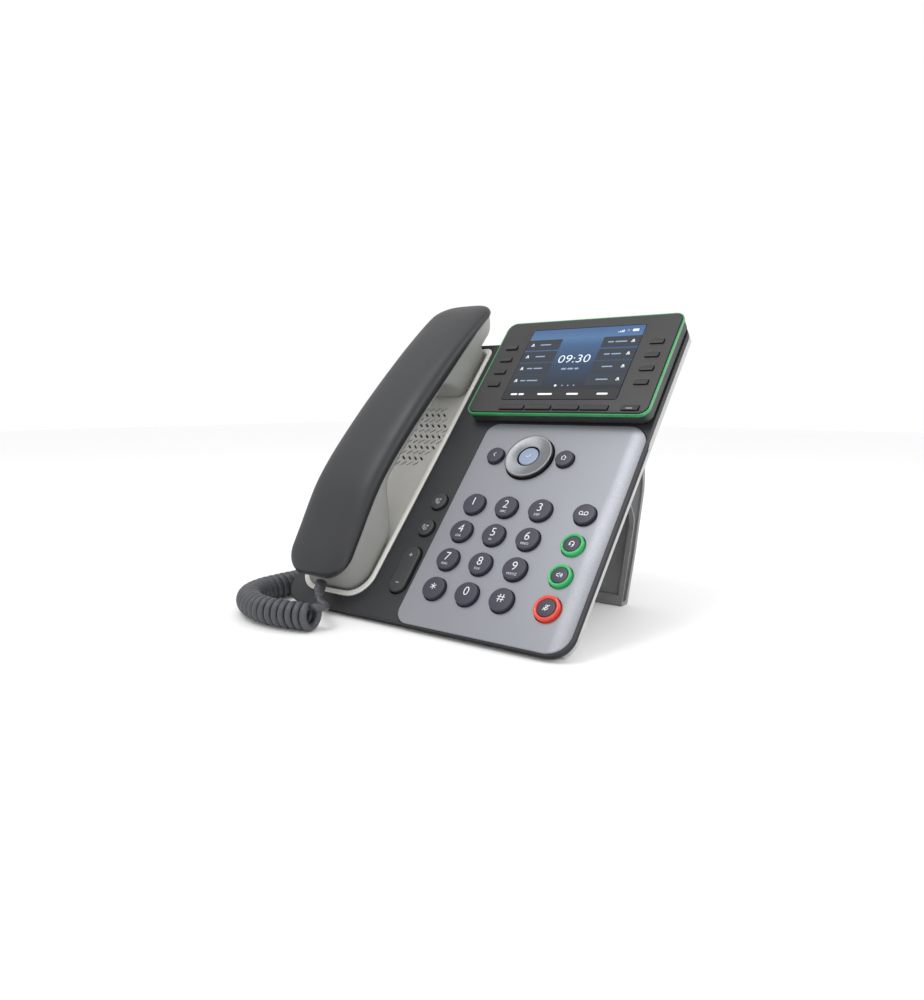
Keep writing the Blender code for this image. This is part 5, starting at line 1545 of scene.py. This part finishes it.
# ---- stand, jacks, plug and foot ---------------------------------------------------------------

STAND_LEFT, STAND_RIGHT, STAND_WALL, STAND_PAD = -0.0990, 0.0390, 0.0030, 0.0060
STAND_FOOT_Y, STAND_FOOT_Z = 0.0735, -TABLE_DROP
JACK_MIDDLE, JACK_SPREAD, CONTACT_PITCH = -0.0300, 0.0080, 0.00102


def on_back(v):
    """Level Y and Z of a point on the shell's back at V."""
    n = SHELL_BACK - GAP
    return v * math.cos(SLOPE) - n * math.sin(SLOPE), v * math.sin(SLOPE) + n * math.cos(SLOPE)


def stand_outline(wall):
    foot_y, foot_z = STAND_FOOT_Y, STAND_FOOT_Z
    low_back, high_back = on_back(0.066), on_back(0.118)
    rear = [
        (0.0815 - wall, foot_z + (STAND_PAD if wall else 0.0), 0 if wall else 0.001),
        (0.0915 - wall, -0.0180, 0.060), (0.1020 - wall, 0.0200, 0.030),
        (0.1000 - wall, 0.0420, 0.020), (high_back[0] - wall, high_back[1], 0),
    ]
    if wall:
        return filleted(rear + [
            (high_back[0] - wall - 0.05, high_back[1] + 0.03, 0), (0.03, -0.02, 0),
            (0.06, foot_z + STAND_PAD, 0),
        ])
    return filleted(rear + [
        (*low_back, 0), (0.0800, 0.0140, 0.012), (0.0885, 0.0020, 0.010), (foot_y, foot_z, 0.001),
    ])


def shade_panel_outline(gap):
    """The outline of the panel let into each side of the stand, inside a narrow light rim; the panel is
    darker as painted shade.
    """
    foot_y, foot_z = STAND_FOOT_Y, STAND_FOOT_Z
    low_back, high_back = on_back(0.072), on_back(0.112)
    return filleted([
        (0.0792 - gap, foot_z + 0.0022 + gap, 0.0010), (0.0888 - gap, -0.0180, 0.060),
        (0.0990 - gap, 0.0200, 0.030), (0.0965 - gap, 0.0420, 0.020),
        (high_back[0] - 0.004, high_back[1], 0), (low_back[0] + 0.0012, low_back[1], 0),
        (0.0815 + gap, 0.0140, 0.012), (0.0893 + gap, 0.0020, 0.008),
        (foot_y + 0.0012 + gap, foot_z + 0.0022 + gap, 0.0010),
    ])


def make_stand():
    pocket = slab([stand_outline(STAND_WALL)], STAND_LEFT + STAND_WALL, STAND_RIGHT - STAND_WALL, 0.0, "vn")
    recess, shade_panels = [], []
    for side, inward in ((STAND_LEFT, 1), (STAND_RIGHT, -1)):
        outer, inner, floor = side - inward * 0.001, side + inward * 0.0008, side + inward * 0.0010
        recess.append(slab([shade_panel_outline(0.0)], min(outer, floor), max(outer, floor), 0.0, "vn"))
        shade_panels.append(slab([shade_panel_outline(0.0001)], min(inner, floor), max(inner, floor), 0.0, "vn"))
    frame_side = slab([stand_outline(0.0)], STAND_LEFT, STAND_RIGHT, 0.0, "vn")
    stand = shaped(frame_side, cutters=[pocket, *recess], edge=0.0004)
    # The darker side panels are painted shade.
    piece("stand_frame", [(stand, STAND), (merged(shade_panels), STAND_SHADE_PANEL)], "base",
          ["desk_stand"], place=LEVEL)


def make_jacks():
    sockets, contacts = [], []
    for side in (-1, 1):
        middle = JACK_MIDDLE + side * JACK_SPREAD
        sockets.append(box_mesh((middle - 0.0061, 0.0612, 0.0280), (middle + 0.0061, 0.0698, 0.0410)))
        sockets.append(box_mesh((middle - 0.0030, 0.0690, 0.0280), (middle + 0.0030, 0.0716, 0.0400)))
        for i in range(8):
            x = middle + (i - 3.5) * CONTACT_PITCH
            contacts.append(box_mesh((x - 0.00018, 0.0613, 0.0330), (x + 0.00018, 0.0622, 0.0405)))
    block = shaped(box_mesh(JACK_LOW, JACK_HIGH), cutters=sockets, edge=0.0002)
    piece("jack_block", [(block, SKIRT), (merged(contacts), RING)], "base",
          ["network_jacks"], place=LEVEL)


def make_plug():
    left = BODY_LEFT - 0.0040
    body = shaped(plug_box(left, left + 0.0120), edge=0.0005)
    piece("plug_body", [(body, CLEAR_PLUG)], "base", ["cord_plug"])


def make_foot():
    low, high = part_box("front_foot")
    pad = shaped(box_mesh(low, high), edge=0.0002)
    piece("front_pad", [(pad, RUBBER)], "base", ["front_foot"], place=Matrix.Identity(4))


def finish_inner_parts():
    """The parts inside keep their solids and take their own finishes."""
    finishes = {
        "keypad_mat": SILICONE, "main_board": LAMINATE, "lcd_panel": SKIRT, "loudspeaker": SKIRT,
        "earpiece_capsule": SKIRT, "microphone_capsule": SKIRT,
    }
    for node, material in finishes.items():
        mesh = frame["nodes"][node].data
        mesh.materials.clear()
        mesh.materials.append(material)


make_camera()
make_studio()
cord_length = make_cord()
print("cord length", round(cord_length, 4))
make_round_keys()
make_navigation()
make_volume_rocker()
make_display_keys()
make_plate()
make_front_housing()
make_rear_shell()
make_head()
make_cradle()
make_handset()
make_stand()
make_jacks()
make_plug()
make_foot()
finish_inner_parts()
